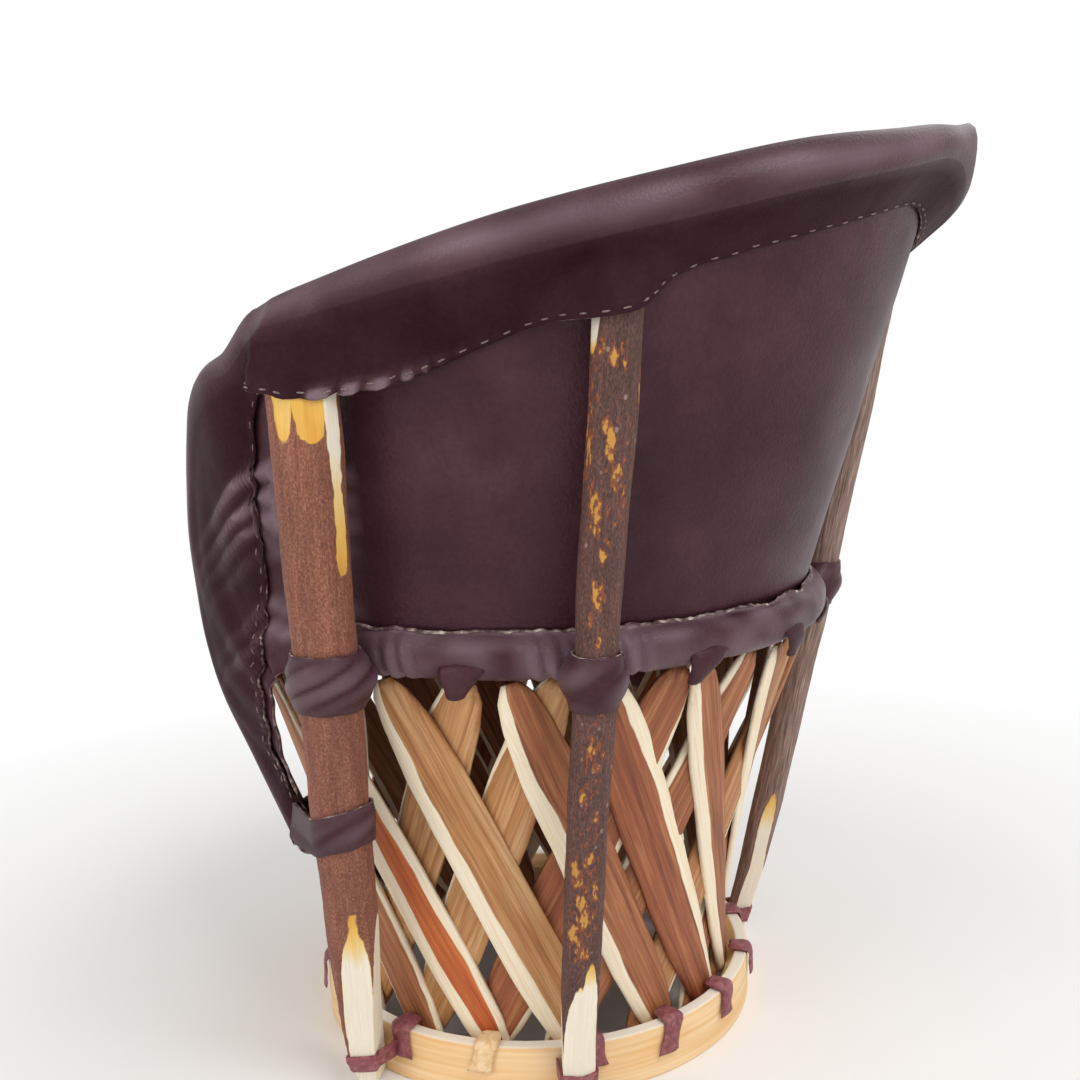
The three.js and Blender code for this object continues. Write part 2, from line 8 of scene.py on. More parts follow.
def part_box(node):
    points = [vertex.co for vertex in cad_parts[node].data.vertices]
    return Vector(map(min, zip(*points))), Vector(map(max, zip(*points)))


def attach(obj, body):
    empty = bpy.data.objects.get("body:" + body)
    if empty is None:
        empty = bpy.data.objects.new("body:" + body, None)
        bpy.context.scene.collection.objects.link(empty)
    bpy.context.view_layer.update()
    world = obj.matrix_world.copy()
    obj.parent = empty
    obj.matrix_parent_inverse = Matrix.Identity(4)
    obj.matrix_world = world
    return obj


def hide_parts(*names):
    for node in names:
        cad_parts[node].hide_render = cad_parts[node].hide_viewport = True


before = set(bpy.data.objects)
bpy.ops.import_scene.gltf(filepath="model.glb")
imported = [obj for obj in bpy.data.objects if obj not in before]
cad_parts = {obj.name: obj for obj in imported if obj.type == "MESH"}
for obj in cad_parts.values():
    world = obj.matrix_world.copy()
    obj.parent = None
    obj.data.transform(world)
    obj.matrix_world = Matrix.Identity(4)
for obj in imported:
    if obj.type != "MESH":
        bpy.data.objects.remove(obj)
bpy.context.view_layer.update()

scene = bpy.context.scene
scene.view_settings.view_transform = "Standard"

# The chair's axis: everything round is centred on the base ring, so its middle sets the frame.
ring_low, ring_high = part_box("base_ring")
axis = (ring_low + ring_high) / 2
axis.z = 0


# Camera. It stands close behind the chair's left side, a little above the seat. Its place, turn and lens
# were fitted to the outlines in the photo.
def show(name, data):
    """A new object in the scene."""
    item = bpy.data.objects.new(name, data)
    scene.collection.objects.link(item)
    return item


camera_data = bpy.data.cameras.new("camera")
camera_data.sensor_width = 36
camera_data.lens = 41.03
camera_data.shift_x = -0.0096
camera_data.shift_y = -0.0005
camera_place = Vector((1.0536, 0.6712, 0.6716))
camera_right = Vector((-0.5178, 0.8552, -0.0248))
camera_down = Vector((0.1434, 0.0582, -0.988))
camera_forward = Vector((-0.8434, -0.5151, -0.1527))
camera = show("camera", camera_data)
camera_turn = Matrix((camera_right, -camera_down, -camera_forward)).transposed().to_4x4()
camera.matrix_world = Matrix.Translation(axis + camera_place) @ camera_turn
scene.camera = camera


# Floor and light. A plain white floor that fades to the white surroundings, one broad soft lamp over
# the camera's left shoulder, a weaker one from the right, and even light from all round.
def linear(colour):
    """An sRGB hex colour as linear red, green, blue and alpha."""
    parts = [int(colour[i:i + 2], 16) / 255 for i in (1, 3, 5)]
    return [p / 12.92 if p <= 0.04045 else ((p + 0.055) / 1.055) ** 2.4 for p in parts] + [1]


def feed(tree, socket, value):
    """Gives a socket a value, another socket, or a node's first output that is in use."""
    if isinstance(value, bpy.types.Node):
        value = next(output for output in value.outputs if output.enabled)
    if isinstance(value, bpy.types.NodeSocket):
        tree.links.new(value, socket)
    else:
        socket.default_value = value


def add(tree, kind, inputs=(), ramp=(), **settings):
    """Adds a node with its settings, and its inputs in order or by name. Plain kinds are shader nodes."""
    node = tree.nodes.new(kind if "Node" in kind else "ShaderNode" + kind)
    for name, value in settings.items():
        setattr(node, name, value)
    sockets = [socket for socket in node.inputs if socket.enabled]
    for place, value in inputs.items() if isinstance(inputs, dict) else enumerate(inputs):
        feed(tree, next(s for i, s in enumerate(sockets) if place in (i, s.name)), value)
    for i, (place, colour) in enumerate(ramp):
        element = node.color_ramp.elements[i] if i < 2 else node.color_ramp.elements.new(place)
        element.position = place
        element.color = linear(colour)
    return node


def new_material(name):
    """A new material and its node tree."""
    material = bpy.data.materials.new(name)
    material.use_nodes = True
    return material, material.node_tree


def mesh_of(name, points, faces=()):
    """A new mesh."""
    mesh = bpy.data.meshes.new(name)
    mesh.from_pydata(points, [], faces)
    return mesh


floor_half, fade_start, fade_end = 30, 0.55, 1.3
corners = [(x * floor_half, y * floor_half, 0) for x, y in ((-1, -1), (1, -1), (1, 1), (-1, 1))]
floor = show("floor", mesh_of("floor", corners, [(0, 1, 2, 3)]))
paper, tree = new_material("matt white paper floor")
tree.nodes.clear()
distance = add(tree, "VectorMath", [add(tree, "TexCoord").outputs["Object"]], operation="LENGTH")
far = add(tree, "MapRange", [distance, fade_start, fade_end])
ray = add(tree, "LightPath").outputs
seen = add(tree, "Math", [ray["Is Camera Ray"], ray["Is Glossy Ray"]], operation="MAXIMUM")
seen = add(tree, "Math", [seen, ray["Is Transmission Ray"]], operation="MAXIMUM")
white = add(tree, "Math", [seen, far], operation="MULTIPLY")
matt = add(tree, "BsdfDiffuse", {"Color": linear("#F4F3F1")})
glow = add(tree, "Emission", {"Color": linear("#FFFFFF"), "Strength": 1.0})
add(tree, "OutputMaterial", {"Surface": add(tree, "MixShader", [white, matt, glow])})
floor.data.materials.append(paper)

world = bpy.data.worlds.new("soft room")
scene.world = world
world.use_nodes = True
tree = world.node_tree
tree.nodes.clear()
ray = add(tree, "LightPath").outputs
soft, bright = [add(tree, "Background", [linear("#FFFFFF"), strength]) for strength in (0.62, 1.0)]
add(tree, "OutputWorld", {"Surface": add(tree, "MixShader", [ray["Is Camera Ray"], soft, bright])})

lamp_aim = Vector((0, 0, 0.45))
for name, spot, size, power in (
        ("key lamp", Vector((0.9, 2.0, 2.6)), 1.8, 46),
        ("side lamp", Vector((2.6, -0.8, 1.6)), 1.6, 22),
        ("far lamp", Vector((-2.2, 0.4, 2.2)), 1.6, 12)):
    lamp_data = bpy.data.lights.new(name, "AREA")
    lamp_data.size = size
    lamp_data.energy = power
    lamp = show(name, lamp_data)
    lamp.location = spot
    lamp.rotation_euler = (lamp_aim - spot).to_track_quat("-Z", "Y").to_euler()


# Base ring. One long strip of pale pine, steamed and bent round, 50 mm high, planed smooth with its
# edges eased and its inner top edge pared off. It stands on the floor and everything is tied to it.
mm = 0.001
ring_outer, ring_wall, ring_height, ring_edge = 223, 22, 50, 2.5
ring_flat_top, pared_level = 11, 35
ring_steps, arc_steps = 240, 4
ring_wave, ring_wave_length = 0.35, 40


def around(radius, bearing, height):
    """A point in mm round the chair's axis. Bearing 0 is the middle of the back, 90 the sitter's left."""
    turn = math.radians(bearing)
    return Vector((radius * math.sin(turn), radius * math.cos(turn), height))


def hand_over(piece, slot_name, *cad_nodes):
    """Puts a piece on the chair's body, in place of the CAD nodes that it stands for; the slot name is not
    used.
    """
    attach(piece, "root")
    if cad_nodes:
        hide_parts(*cad_nodes)


def finish_piece(name, points, faces, material, slot_name, *cad_nodes):
    """A smooth mesh object from points in mm about the chair's axis."""
    piece = show(name, mesh_of(name, [Vector(p) * mm + axis for p in points], faces))
    piece.data.polygons.foreach_set("use_smooth", [True] * len(faces))
    piece.data.materials.append(material)
    hand_over(piece, slot_name, *cad_nodes)
    return piece


def tube_faces(rings, sides, closed):
    """The faces of a tube of rings of points, joined end to start if closed, else capped."""
    faces = []
    for i in range(rings if closed else rings - 1):
        n = (i + 1) % rings
        for j in range(sides):
            k = (j + 1) % sides
            faces.append((i * sides + j, i * sides + k, n * sides + k, n * sides + j))
    if not closed:
        faces.append(tuple(range(sides))[::-1])
        faces.append(tuple((rings - 1) * sides + j for j in range(sides)))
    return faces


def outward(piece):
    """Turns every face of a closed piece to point out."""
    shape = bmesh.new()
    shape.from_mesh(piece.data)
    bmesh.ops.recalc_face_normals(shape, faces=shape.faces)
    shape.to_mesh(piece.data)
    shape.free()


def note(mesh, name, values):
    """Writes a number or a vector for each vertex of a mesh as a named attribute."""
    if isinstance(values[0], (int, float)):
        mesh.attributes.new(name, "FLOAT", "POINT").data.foreach_set("value", values)
    else:
        flat = [part for value in values for part in value]
        mesh.attributes.new(name, "FLOAT_VECTOR", "POINT").data.foreach_set("vector", flat)


def attributes(tree, *names):
    """The numbers that a piece's vertices carry under these names."""
    return [add(tree, "Attribute", attribute_name=name).outputs["Fac"] for name in names]


def pattern(tree, place, sizes, inputs, kind="TexNoise", **settings):
    """A texture whose lumps measure these mm along x, y and z."""
    stretched = add(tree, "VectorMath", [place, [1 / (size * mm) for size in sizes]], operation="MULTIPLY")
    return add(tree, kind, {"Vector": stretched, "Scale": 1, **inputs}, **settings)


def dress(tree, inputs, relief=None, strength=0, depth=0):
    """Sets a material's surface, and gives it a bump of a depth in mm if it has a relief."""
    if relief:
        bump = add(tree, "Bump", {"Height": relief, "Strength": strength, "Distance": depth * mm})
        inputs = dict(inputs, Normal=bump)
    for name, value in inputs.items():
        feed(tree, tree.nodes["Principled BSDF"].inputs[name], value)


profile = []
for middle_out, middle_up, start, bend in (
        (ring_outer - ring_edge, ring_edge, -90, 90),
        (ring_outer - ring_edge, ring_height - ring_edge, 0, 90),
        (ring_outer - ring_flat_top, ring_height - ring_edge, 90, 50),
        (ring_outer - ring_wall + ring_edge, pared_level, 140, 40),
        (ring_outer - ring_wall + ring_edge, ring_edge, 180, 90)):
    for step in range(arc_steps + 1):
        turn = math.radians(start + step * bend / arc_steps)
        profile.append((middle_out + ring_edge * math.cos(turn), middle_up + ring_edge * math.sin(turn)))
points, grain = [], []
for i in range(ring_steps):
    bearing = i * 360 / ring_steps
    for out, up in profile:
        wave = ring_wave * noise.noise(around(out, bearing, up) / ring_wave_length)
        points.append(around(out + (wave if ring_edge < up < ring_height - ring_edge else 0), bearing, up))
        along = ring_outer * math.radians(abs(bearing - 180))
        grain.append(((out - ring_outer + ring_wall / 2) * mm, along * mm, up * mm))

# Planed and left bare: growth lines run along the strip, 3 mm apart, and its top face is painted paler as a
# highlight from the light above.
pine, tree = new_material("planed pine, bare")
lines = add(tree, "Attribute", attribute_name="grain").outputs["Vector"]
growth = pattern(tree, lines, (3.03, 200, 3.03), {"Detail": 4, "Roughness": 0.55})
broad = pattern(tree, lines, (16.67, 111, 16.67), {"Detail": 2})
tint = add(tree, "ValToRGB", [growth], ramp=[(0.3, "#EDC894"), (0.52, "#F4D3A3"), (0.75, "#F8E0BB")])
stain = add(tree, "ValToRGB", [broad], ramp=[(0.35, "#F7E2C2"), (0.7, "#FFFFFF")])
colour = add(tree, "Mix", [0.8, tint, stain], data_type="RGBA", blend_type="MULTIPLY")
# Painted highlight: the top face is mixed toward pale cream, as if lit from above.
level = add(tree, "SeparateXYZ", [lines]).outputs["Z"]
top = add(tree, "MapRange", [level, (ring_height - 1.5) * mm, (ring_height - 0.2) * mm])
colour = add(tree, "Mix", [top, colour, linear("#F1E9D8")], data_type="RGBA")
dress(tree, {"Base Color": colour, "Roughness": 0.58}, growth, 0.25, 0.6)

faces = tube_faces(ring_steps, len(profile), True)
base_ring = finish_piece("pine_base_ring", points, faces, pine, "pine", "base_ring")
outward(base_ring)
note(base_ring.data, "grain", grain)


# Slats. Split red cedar, 7 mm thick, cleft along the grain and trimmed with a knife, so the edges
# wander and keep strips of cream sapwood. Sixteen lean one way and sixteen cross behind them.
pair_count, first_pair, pair_step = 16, 93, 22.5
seat_hoop_radius, seat_hoop_height, hoop_to_tips = 279, 430, 22.5
slat_thickness, slat_width, slat_gap, slat_turn = 7, 50, 0.5, 45
slat_low_end, layer_gap = 14, 0.8
slat_top = seat_hoop_height - hoop_to_tips
slat_rise = slat_top - ring_height
slat_foot_radius = ring_outer - ring_wall - slat_gap - slat_thickness
slat_top_radius = seat_hoop_radius + slat_gap
slat_widths = (1, 0.92, 1.04, 0.96, 1.06, 0.9, 1, 0.95)
slat_top_nudges = {"outer": (-1, -6, -9, -9, -2, 1, 2, 1), "inner": (-2, 0, -2, 4.6, 3.7, 8, 4, 0)}
slat_foot_nudges = (0, 2, 1, -2, 0, 2, -1, 1)
slat_outline = ((0, 0.3), (0.03, 0.56), (0.1, 0.78), (0.24, 0.96), (0.5, 1), (0.76, 0.98), (0.9, 0.82),
                (0.97, 0.6), (1, 0.3))
# How much wider a slat is than the CAD one, and how far its face is cupped, thinned at the edges from a
# share of its half width on, and thinned at the tips.
slat_swell, slat_cup, edge_thin, edge_from, tip_thin, tip_fade = 1.08, 0.22, 0.5, 0.72, 0.55, 12
knife_wander = 5


def table_at(rows, x):
    """The value at x on straight lines through the rows of a table."""
    for (x0, y0), (x1, y1) in zip(rows, rows[1:]):
        if x <= x1:
            return y0 + (y1 - y0) * max(x - x0, 0) / (x1 - x0)
    return rows[-1][1]


def blank_shape(name, points, faces):
    """A closed shape for a node tree to copy."""
    blank = show(name, mesh_of(name, points, faces))
    outward(blank)
    return blank


# The blank is one slat in shares: x across from -1 to 1, z along from 0 to 1, and y its rise in metres.
blank_steps, blank_sides = 56, (-1, -0.93, -0.75, -0.5, -0.25, 0, 0.25, 0.5, 0.75, 0.93, 1)
points, across_values = [], []
for i in range(blank_steps + 1):
    along = i / blank_steps
    wide = table_at(slat_outline, along)
    for side, lift in [(side, 1) for side in blank_sides] + [(side, 0) for side in blank_sides[::-1]]:
        thick = 1 - edge_thin * max(abs(side) - edge_from, 0) / (1 - edge_from)
        rise = thick * lift - slat_cup * side * side * wide
        rise *= min(1, tip_thin + min(along, 1 - along) * tip_fade)
        points.append((side * wide, rise * slat_thickness * mm, along))
        across_values.append(float(side))
blank = blank_shape("slat blank", points, tube_faces(blank_steps + 1, 2 * len(blank_sides), False))
note(blank.data, "across", across_values)


def shaded(tree, colour, value, low, high, dark, light):
    """A colour made darker or lighter as a value goes from low to high."""
    strength = add(tree, "MapRange", [value, low, high, dark, light])
    return add(tree, "VectorMath", [colour, strength], operation="SCALE")


# Cleft fibres are about a millimetre wide and run for centimetres; growth bands are 4 to 8 mm wide.
cedar, tree = new_material("split red cedar")
fibre = add(tree, "Attribute", attribute_name="fibre").outputs["Vector"]
seed, across, tone, sap_plus, sap_minus = attributes(tree, "seed", "across", "tone", "sap_plus", "sap_minus")
fibres, bands, wander = [
    pattern(tree, fibre, sizes, dict(inputs, W=seed), noise_dimensions="4D") for sizes, inputs in (
        ((1.11, 1.11, 71.4), {"Detail": 3, "Roughness": 0.6}),
        ((5.88, 5.88, 143), {"Detail": 4, "Roughness": 0.6, "Distortion": 0.6}),
        ((16.7, 16.7, 91), {"Detail": 3}))]
heart_red, heart_orange, heart_tan = [
    add(tree, "ValToRGB", [bands], ramp=zip((0.25, 0.42, 0.56, 0.72), colours)) for colours in (
        ("#5E2E1E", "#8A482D", "#A65F3A", "#C08655"),
        ("#98441F", "#BE5A2A", "#D07236", "#DE9058"),
        ("#A0643A", "#C48A50", "#D6A570", "#E2BC88"))]
heart = add(tree, "Mix", [tone, heart_red, heart_tan], data_type="RGBA")
heart = add(tree, "Mix", [add(tree, "MapRange", [tone, 0, -1]), heart, heart_orange], data_type="RGBA")
heart = shaded(tree, heart, fibres, 0.3, 0.7, 0.72, 1.12)
sap = add(tree, "ValToRGB", [fibres], ramp=[(0.25, "#EACFA2"), (0.5, "#F8E9CD"), (0.8, "#FDF5E3")])
plus = add(tree, "Math", [across, sap_plus], operation="SUBTRACT")
minus = add(tree, "Math", [across, -1.0], operation="MULTIPLY")
minus = add(tree, "Math", [minus, sap_minus], operation="SUBTRACT")
inside = add(tree, "Math", [plus, minus], operation="MAXIMUM")
wander = add(tree, "Math", [wander, 0.5, inside], operation="MULTIPLY_ADD")
colour = add(tree, "Mix", [add(tree, "MapRange", [wander, 0.235, 0.275]), heart, sap], data_type="RGBA")
rough_cut = add(tree, "Math", [fibres, bands], operation="ADD")
dress(tree, {"Base Color": colour, "Roughness": 0.62}, rough_cut, 0.55, 1.2)


def new_tree(name, **kinds):
    """A new geometry tree with inputs of these kinds, and the sockets that bring them."""
    made = bpy.data.node_groups.new(name, "GeometryNodeTree")
    for label, kind in kinds.items():
        made.interface.new_socket(label.replace("_", " "), in_out="INPUT", socket_type="NodeSocket" + kind)
    made.interface.new_socket("Pieces", in_out="OUTPUT", socket_type="NodeSocketGeometry")
    return made, add(made, "NodeGroupInput").outputs


def named_fields(tree, kind, *names):
    """The values of a kind that the points carry under these names."""
    return [add(tree, "GeometryNodeInputNamedAttribute", [name], data_type=kind) for name in names]


def copies_at(tree, points, blank):
    """A blank set at each point as real geometry, and the parts of each vertex's place in the blank."""
    form = add(tree, "GeometryNodeObjectInfo", {"Object": blank}).outputs["Geometry"]
    copies = add(tree, "GeometryNodeInstanceOnPoints", {"Points": points, "Instance": form})
    solid = add(tree, "GeometryNodeRealizeInstances", [copies])
    return solid, add(tree, "SeparateXYZ", [add(tree, "GeometryNodeInputPosition")]).outputs


def finish_tree(tree, solid, position, finish):
    """Moves a tree's pieces to positions about the chair's axis, gives them a material and ends it."""
    place = add(tree, "VectorMath", [position, tuple(axis)], operation="ADD")
    placed = add(tree, "GeometryNodeSetPosition", {"Geometry": solid, "Position": place})
    dressed = add(tree, "GeometryNodeSetMaterial", {"Geometry": placed, "Material": finish})
    add(tree, "NodeGroupOutput", {"Pieces": dressed})


# The tree sets a blank on each line from the ring to the seat, turns it to face out, and bends its edges.
slat_tree, given = new_tree("slats between ring and seat", Lines="Geometry", Thickness_offset="Float",
                            Knife_wander="Float")
tree = slat_tree
solid, parts = copies_at(tree, given["Lines"], blank)
foot, head = named_fields(tree, "FLOAT_VECTOR", "foot", "head")
half, seed = named_fields(tree, "FLOAT", "half_width", "seed")
run = add(tree, "VectorMath", [head, foot], operation="SUBTRACT")
step = add(tree, "VectorMath", [run, parts["Z"]], operation="SCALE")
middle = add(tree, "VectorMath", [foot, step], operation="ADD")
level = add(tree, "VectorMath", [middle, (1, 1, 0)], operation="MULTIPLY")
facing = add(tree, "VectorMath", [level], operation="NORMALIZE")
lengthwise = add(tree, "VectorMath", [run], operation="NORMALIZE")
sideways = add(tree, "VectorMath", [lengthwise, facing], operation="CROSS_PRODUCT")
sideways = add(tree, "VectorMath", [sideways], operation="NORMALIZE")
track = add(tree, "CombineXYZ", {"X": parts["X"], "Z": parts["Z"]})
track = add(tree, "VectorMath", [track, (0.9, 1, 4.5)], operation="MULTIPLY")
knife = add(tree, "TexNoise", {"Vector": track, "W": seed, "Scale": 1, "Detail": 3}, noise_dimensions="4D")
knife = add(tree, "Math", [knife, 0.5], operation="SUBTRACT")
bend = add(tree, "Math", [knife, given["Knife wander"]], operation="MULTIPLY")
wide = add(tree, "Math", [parts["X"], half, bend], operation="MULTIPLY_ADD")
lift = add(tree, "Math", [parts["Y"], given["Thickness offset"]], operation="ADD")
rough = add(tree, "Math", [bend, 0.3, lift], operation="MULTIPLY_ADD")
shift = add(tree, "VectorMath", [sideways, wide], operation="SCALE")
raised = add(tree, "VectorMath", [facing, rough], operation="SCALE")
moved = add(tree, "VectorMath", [middle, shift], operation="ADD")
moved = add(tree, "VectorMath", [moved, raised], operation="ADD")
length = add(tree, "VectorMath", [run], operation="LENGTH")
fibre = add(tree, "CombineXYZ", [wide, lift, add(tree, "Math", [parts["Z"], length], operation="MULTIPLY")])
marked = add(tree, "GeometryNodeStoreNamedAttribute", {"Geometry": solid, "Name": "fibre", "Value": fibre},
             data_type="FLOAT_VECTOR")
finish_tree(tree, marked, moved, cedar)


def marked_points(name, columns):
    """A mesh of points at one place, each with its own value in every column."""
    mesh = mesh_of(name, [(0, 0, 0)] * len(columns["seed"]))
    for label, values in columns.items():
        note(mesh, label, values)
    return mesh


def keep_made(piece):
    """Replaces a piece's mesh with what its modifiers make of it."""
    bpy.context.view_layer.update()
    made = bpy.data.meshes.new_from_object(piece.evaluated_get(bpy.context.evaluated_depsgraph_get()))
    piece.modifiers.clear()
    piece.data = made
    made.name = piece.name


def grown(name, tree, start, inputs, slot_name, *cad_nodes):
    """Runs a node tree on a start mesh and keeps the result as a plain mesh."""
    maker = show(name, start)
    modifier = maker.modifiers.new("make", "NODES")
    modifier.node_group = tree
    for item in tree.interface.items_tree:
        if item.in_out == "INPUT" and item.name in inputs:
            modifier[item.identifier] = inputs[item.name]
    keep_made(maker)
    maker.data.polygons.foreach_set("use_smooth", [True] * len(maker.data.polygons))
    hand_over(maker, slot_name, *cad_nodes)


# Each pair's tone (-1 orange, 0 red, 1 tan) and where cream sapwood starts on either edge; past 1 there is
# none. The looks repeat after eight pairs.
outer_looks = ((0.2, 0.8, 0.8), (-1, 0.75, 0.26), (0.8, 1.2, 0.4), (0.15, 1.2, 0.45), (0.0, 0.5, 1.2),
               (0.15, 1.2, 0.5), (0.4, 1.2, 0.5), (0.3, 0.8, 1.2))
inner_looks = ((0.85, 1.2, 0.9), (0.05, 0.85, 1.2), (0.15, 1.2, 0.85), (0.6, 0.75, 1.2), (0.2, 1.2, 0.85),
               (0.65, 0.8, 1.2), (0.3, 0.7, 1.2), (0.8, 1.2, 0.85))
turn = math.radians(slat_turn)
slat_lean = math.atan2(math.hypot(slat_top_radius * math.cos(turn) - slat_foot_radius,
                                  slat_top_radius * math.sin(turn)), slat_rise)
for layer, way, looks, shift, first_seed in (
        ("outer", 1, outer_looks, 0, 0),
        ("inner", -1, inner_looks, 3, 80)):
    columns = {name: [] for name in ("foot", "head", "half_width", "seed", "tone", "sap_plus", "sap_minus")}
    for pair in range(pair_count):
        odd = (pair + shift) % 8
        half = slat_width / 2 * slat_widths[odd]
        tip = half * slat_outline[0][1] * math.sin(slat_lean)
        bearing = first_pair - pair * pair_step + slat_foot_nudges[odd]
        nudge = slat_top_nudges[layer][odd] - slat_foot_nudges[odd]
        start = around(slat_foot_radius, bearing, ring_height)
        end = around(slat_top_radius, bearing + way * slat_turn + nudge, slat_top)
        low = (slat_low_end + tip - ring_height) / slat_rise
        values = (start.lerp(end, low) * mm, start.lerp(end, (slat_rise - tip) / slat_rise) * mm,
                  half * slat_swell * mm, pair * 3.7 + first_seed, *looks[pair % 8])
        for column, value in zip(columns.values(), values):
            column.append(value)
    inset = 0 if way > 0 else -(slat_thickness + layer_gap)
    grown("cedar_" + layer + "_slats", slat_tree, marked_points(layer + " slat lines", columns),
          {"Thickness offset": inset * mm, "Knife wander": knife_wander * mm}, "cedar",
          *[layer + "_slat_%02d" % (pair + 1) for pair in range(pair_count)])
bpy.data.objects.remove(blank)


# Posts. Four round poles with their bark left on, the arm posts thicker. Both ends are whittled to a
# flat face with a knife: the foot is tied to the ring, the top stands in a pocket of the back's flap.
cover_foot, cover_foot_radius = 448.4, 281
rim_height, back_flare, back_recline = 826, 75, 34
rim_rise = ((0, 1), (15, 0.962), (30, 0.916), (45, 0.858), (60, 0.801), (75, 0.739), (85, 0.7), (95, 0.665),
            (104, 0.612))
rim_rods = ((0, 0.66), (15, 0.78), (30, 0.96), (60, 1), (80, 0.85), (95, 0.66), (104, 0.6))
rim_rod_radius, hide_gap = 18, 0.4
post_foot, post_gap, post_short, post_reach_at_seat = 3, 0.4, 6, 304.8
post_sides, post_steps = 96, 220
bark_lump, bark_grit, bark_proud, pole_wander, knife_chatter = 1.2, 0.3, 0.4, 1.6, 0.1


def curve_at(rows, x):
    """The value at x on a smooth curve through the rows of a table, the same on both sides of 0."""
    x = min(abs(x), rows[-1][0])
    i = max(next(k for k, row in enumerate(rows) if row[0] >= x), 1)
    (x0, y0), (x1, y1) = rows[i - 1], rows[i]
    before = rows[i - 2] if i > 1 else (-rows[1][0], rows[1][1])
    after = rows[i + 1] if i + 1 < len(rows) else rows[i]
    slope0 = (y1 - before[1]) / (x1 - before[0])
    slope1 = (after[1] - y0) / (after[0] - x0)
    run, t = x1 - x0, (x - x0) / (x1 - x0)
    straight = y0 + (y1 - y0) * t * t * (3 - 2 * t)
    return straight + t * (1 - t) ** 2 * run * slope0 + t * t * (t - 1) * run * slope1


def rim_level(bearing):
    """The rim hoop's height at a bearing."""
    return cover_foot + (rim_height - cover_foot) * curve_at(rim_rise, bearing)


def rim_rod(bearing):
    """The rim hoop's own radius at a bearing."""
    return rim_rod_radius * curve_at(rim_rods, bearing)


def on_shell(offset, bearing, height):
    """A point outside the back's leaning, flaring shell."""
    share = (height - cover_foot) / (rim_height - cover_foot)
    spot = around(cover_foot_radius + back_flare * share + offset, bearing, height)
    return spot + Vector((0, back_recline * share, 0))


def apart(a, b):
    """The signed angle between two bearings in degrees."""
    return (a - b + 180) % 360 - 180


def hill(x, middle, width):
    """1 in the middle, falling away smoothly on both sides."""
    return math.exp(-((x - middle) / width) ** 2)


# Bearings and bark radii are at the foot, the seat and the top. A cut is the way it faces round the post
# (0 outward, 90 a quarter turn to the back), the height of its tip, how far the wood stays golden past the
# tip, then rows of how far past the tip and how deep the knife went there.
arm_cuts = [(44, 197, 60, ((0, 0.3), (22, 0.7), (30, 1.6), (45, 2.9), (60, 3.8), (120, 4.6), (165, 5),
                           (194, 9))),
            (122, 207, 12, ((0, 0), (20, 0.8), (41, 2.5), (120, 8), (204, 11))),
            (-64, 150, 30, ((0, 0), (20, 2.4), (48, 8), (80, 10), (110, 13), (147, 21))),
            (-110, 120, 30, ((0, 0), (60, 2), (117, 8))),
            (0, 589, 200, ((0, 0), (12, 0.12), (33, 0.9), (56, 1.6), (95, 20))),
            (45, 606, 200, ((0, 0), (8, 1.6), (34, 2.6), (78, 14))),
            (86, 502, 105, ((0, 0), (8, 0.6), (60, 1.0), (138, 0.9), (182, 8)))]
left_back_cuts = [(24, 164, 30, ((0, 0), (14, 1), (36, 2.4), (57, 3.6), (122, 5.5), (161, 8))),
                  (-14, 143, 12, ((0, 0), (10, 0.9), (35, 3.4), (92, 6), (140, 10))),
                  (-95, 120, 20, ((0, 0), (60, 2.5), (117, 5))),
                  (8, 705, 60, ((0, 0), (6, 0.6), (31, 20))),
                  (-80, 668, 12, ((0, 0), (10, 0.7), (25, 1.3), (45, 2.2), (68, 6)))]
right_back_cuts = [(-103, 185, 60, ((0, 0), (40, 1.6), (100, 2.6), (182, 6))),
                   (-20, 165, 30, ((0, 0), (60, 4), (120, 9), (162, 13))),
                   (-155, 668, 40, ((0, 0), (20, 1), (45, 2.6), (76, 10))),
                   (-75, 690, 40, ((0, 0), (15, 0.8), (54, 4))),
                   (-5, 690, 40, ((0, 0), (20, 2), (54, 20)))]
arm_post = {"radii": (22, 26, 28), "standoff": 12, "pinch": 6, "bark": "red"}
back_post = {"radii": (16, 17.5, 19), "standoff": 2, "pinch": 0}
posts = {
    "left_arm": dict(arm_post, bearings=(98.8, 88, 87.3), cuts=arm_cuts),
    "left_back": dict(back_post, bearings=(50.4, 48.4, 49.4), bark="flaked", cuts=left_back_cuts),
    "right_back": dict(back_post, bearings=(-51, -43.2, -43.2), bark="fibrous", cuts=right_back_cuts),
    "right_arm": dict(arm_post, bearings=(-98.8, -88, -87.3),
                      cuts=[(-facing, tip + 6, golden, rows) for facing, tip, golden, rows in arm_cuts]),
}
for post in posts.values():
    radii, bearings = post["radii"], post["bearings"]
    edge = abs(bearings[2]) + math.degrees(radii[2] / cover_foot_radius)
    post["top"] = rim_level(edge) - rim_rod(edge) - hide_gap - post_short
    post["seats"] = [around(ring_outer + post_gap + radii[0], bearings[0], post_foot),
                     around(post_reach_at_seat - post["pinch"] + radii[1], bearings[1], seat_hoop_height),
                     on_shell(post["standoff"] + radii[2], bearings[2], post["top"])]


def post_at(post, height):
    """A post's centre, its outward and sideways directions and its bark radius at a height."""
    centre = Vector((0, 0, 0))
    for i, seat in enumerate(post["seats"]):
        weight = 1
        for j, other in enumerate(post["seats"]):
            if j != i:
                weight *= (height - other.z) / (seat.z - other.z)
        centre += seat * weight
    out = Vector((centre.x, centre.y, 0)).normalized()
    foot, seat, top = post["radii"]
    if height < seat_hoop_height:
        radius = foot + (seat - foot) * (height - post_foot) / (seat_hoop_height - post_foot)
    else:
        radius = seat + (top - seat) * (height - seat_hoop_height) / (post["top"] - seat_hoop_height)
    return Vector((centre.x, centre.y, height)), out, Vector((-out.y, out.x, 0)), radius


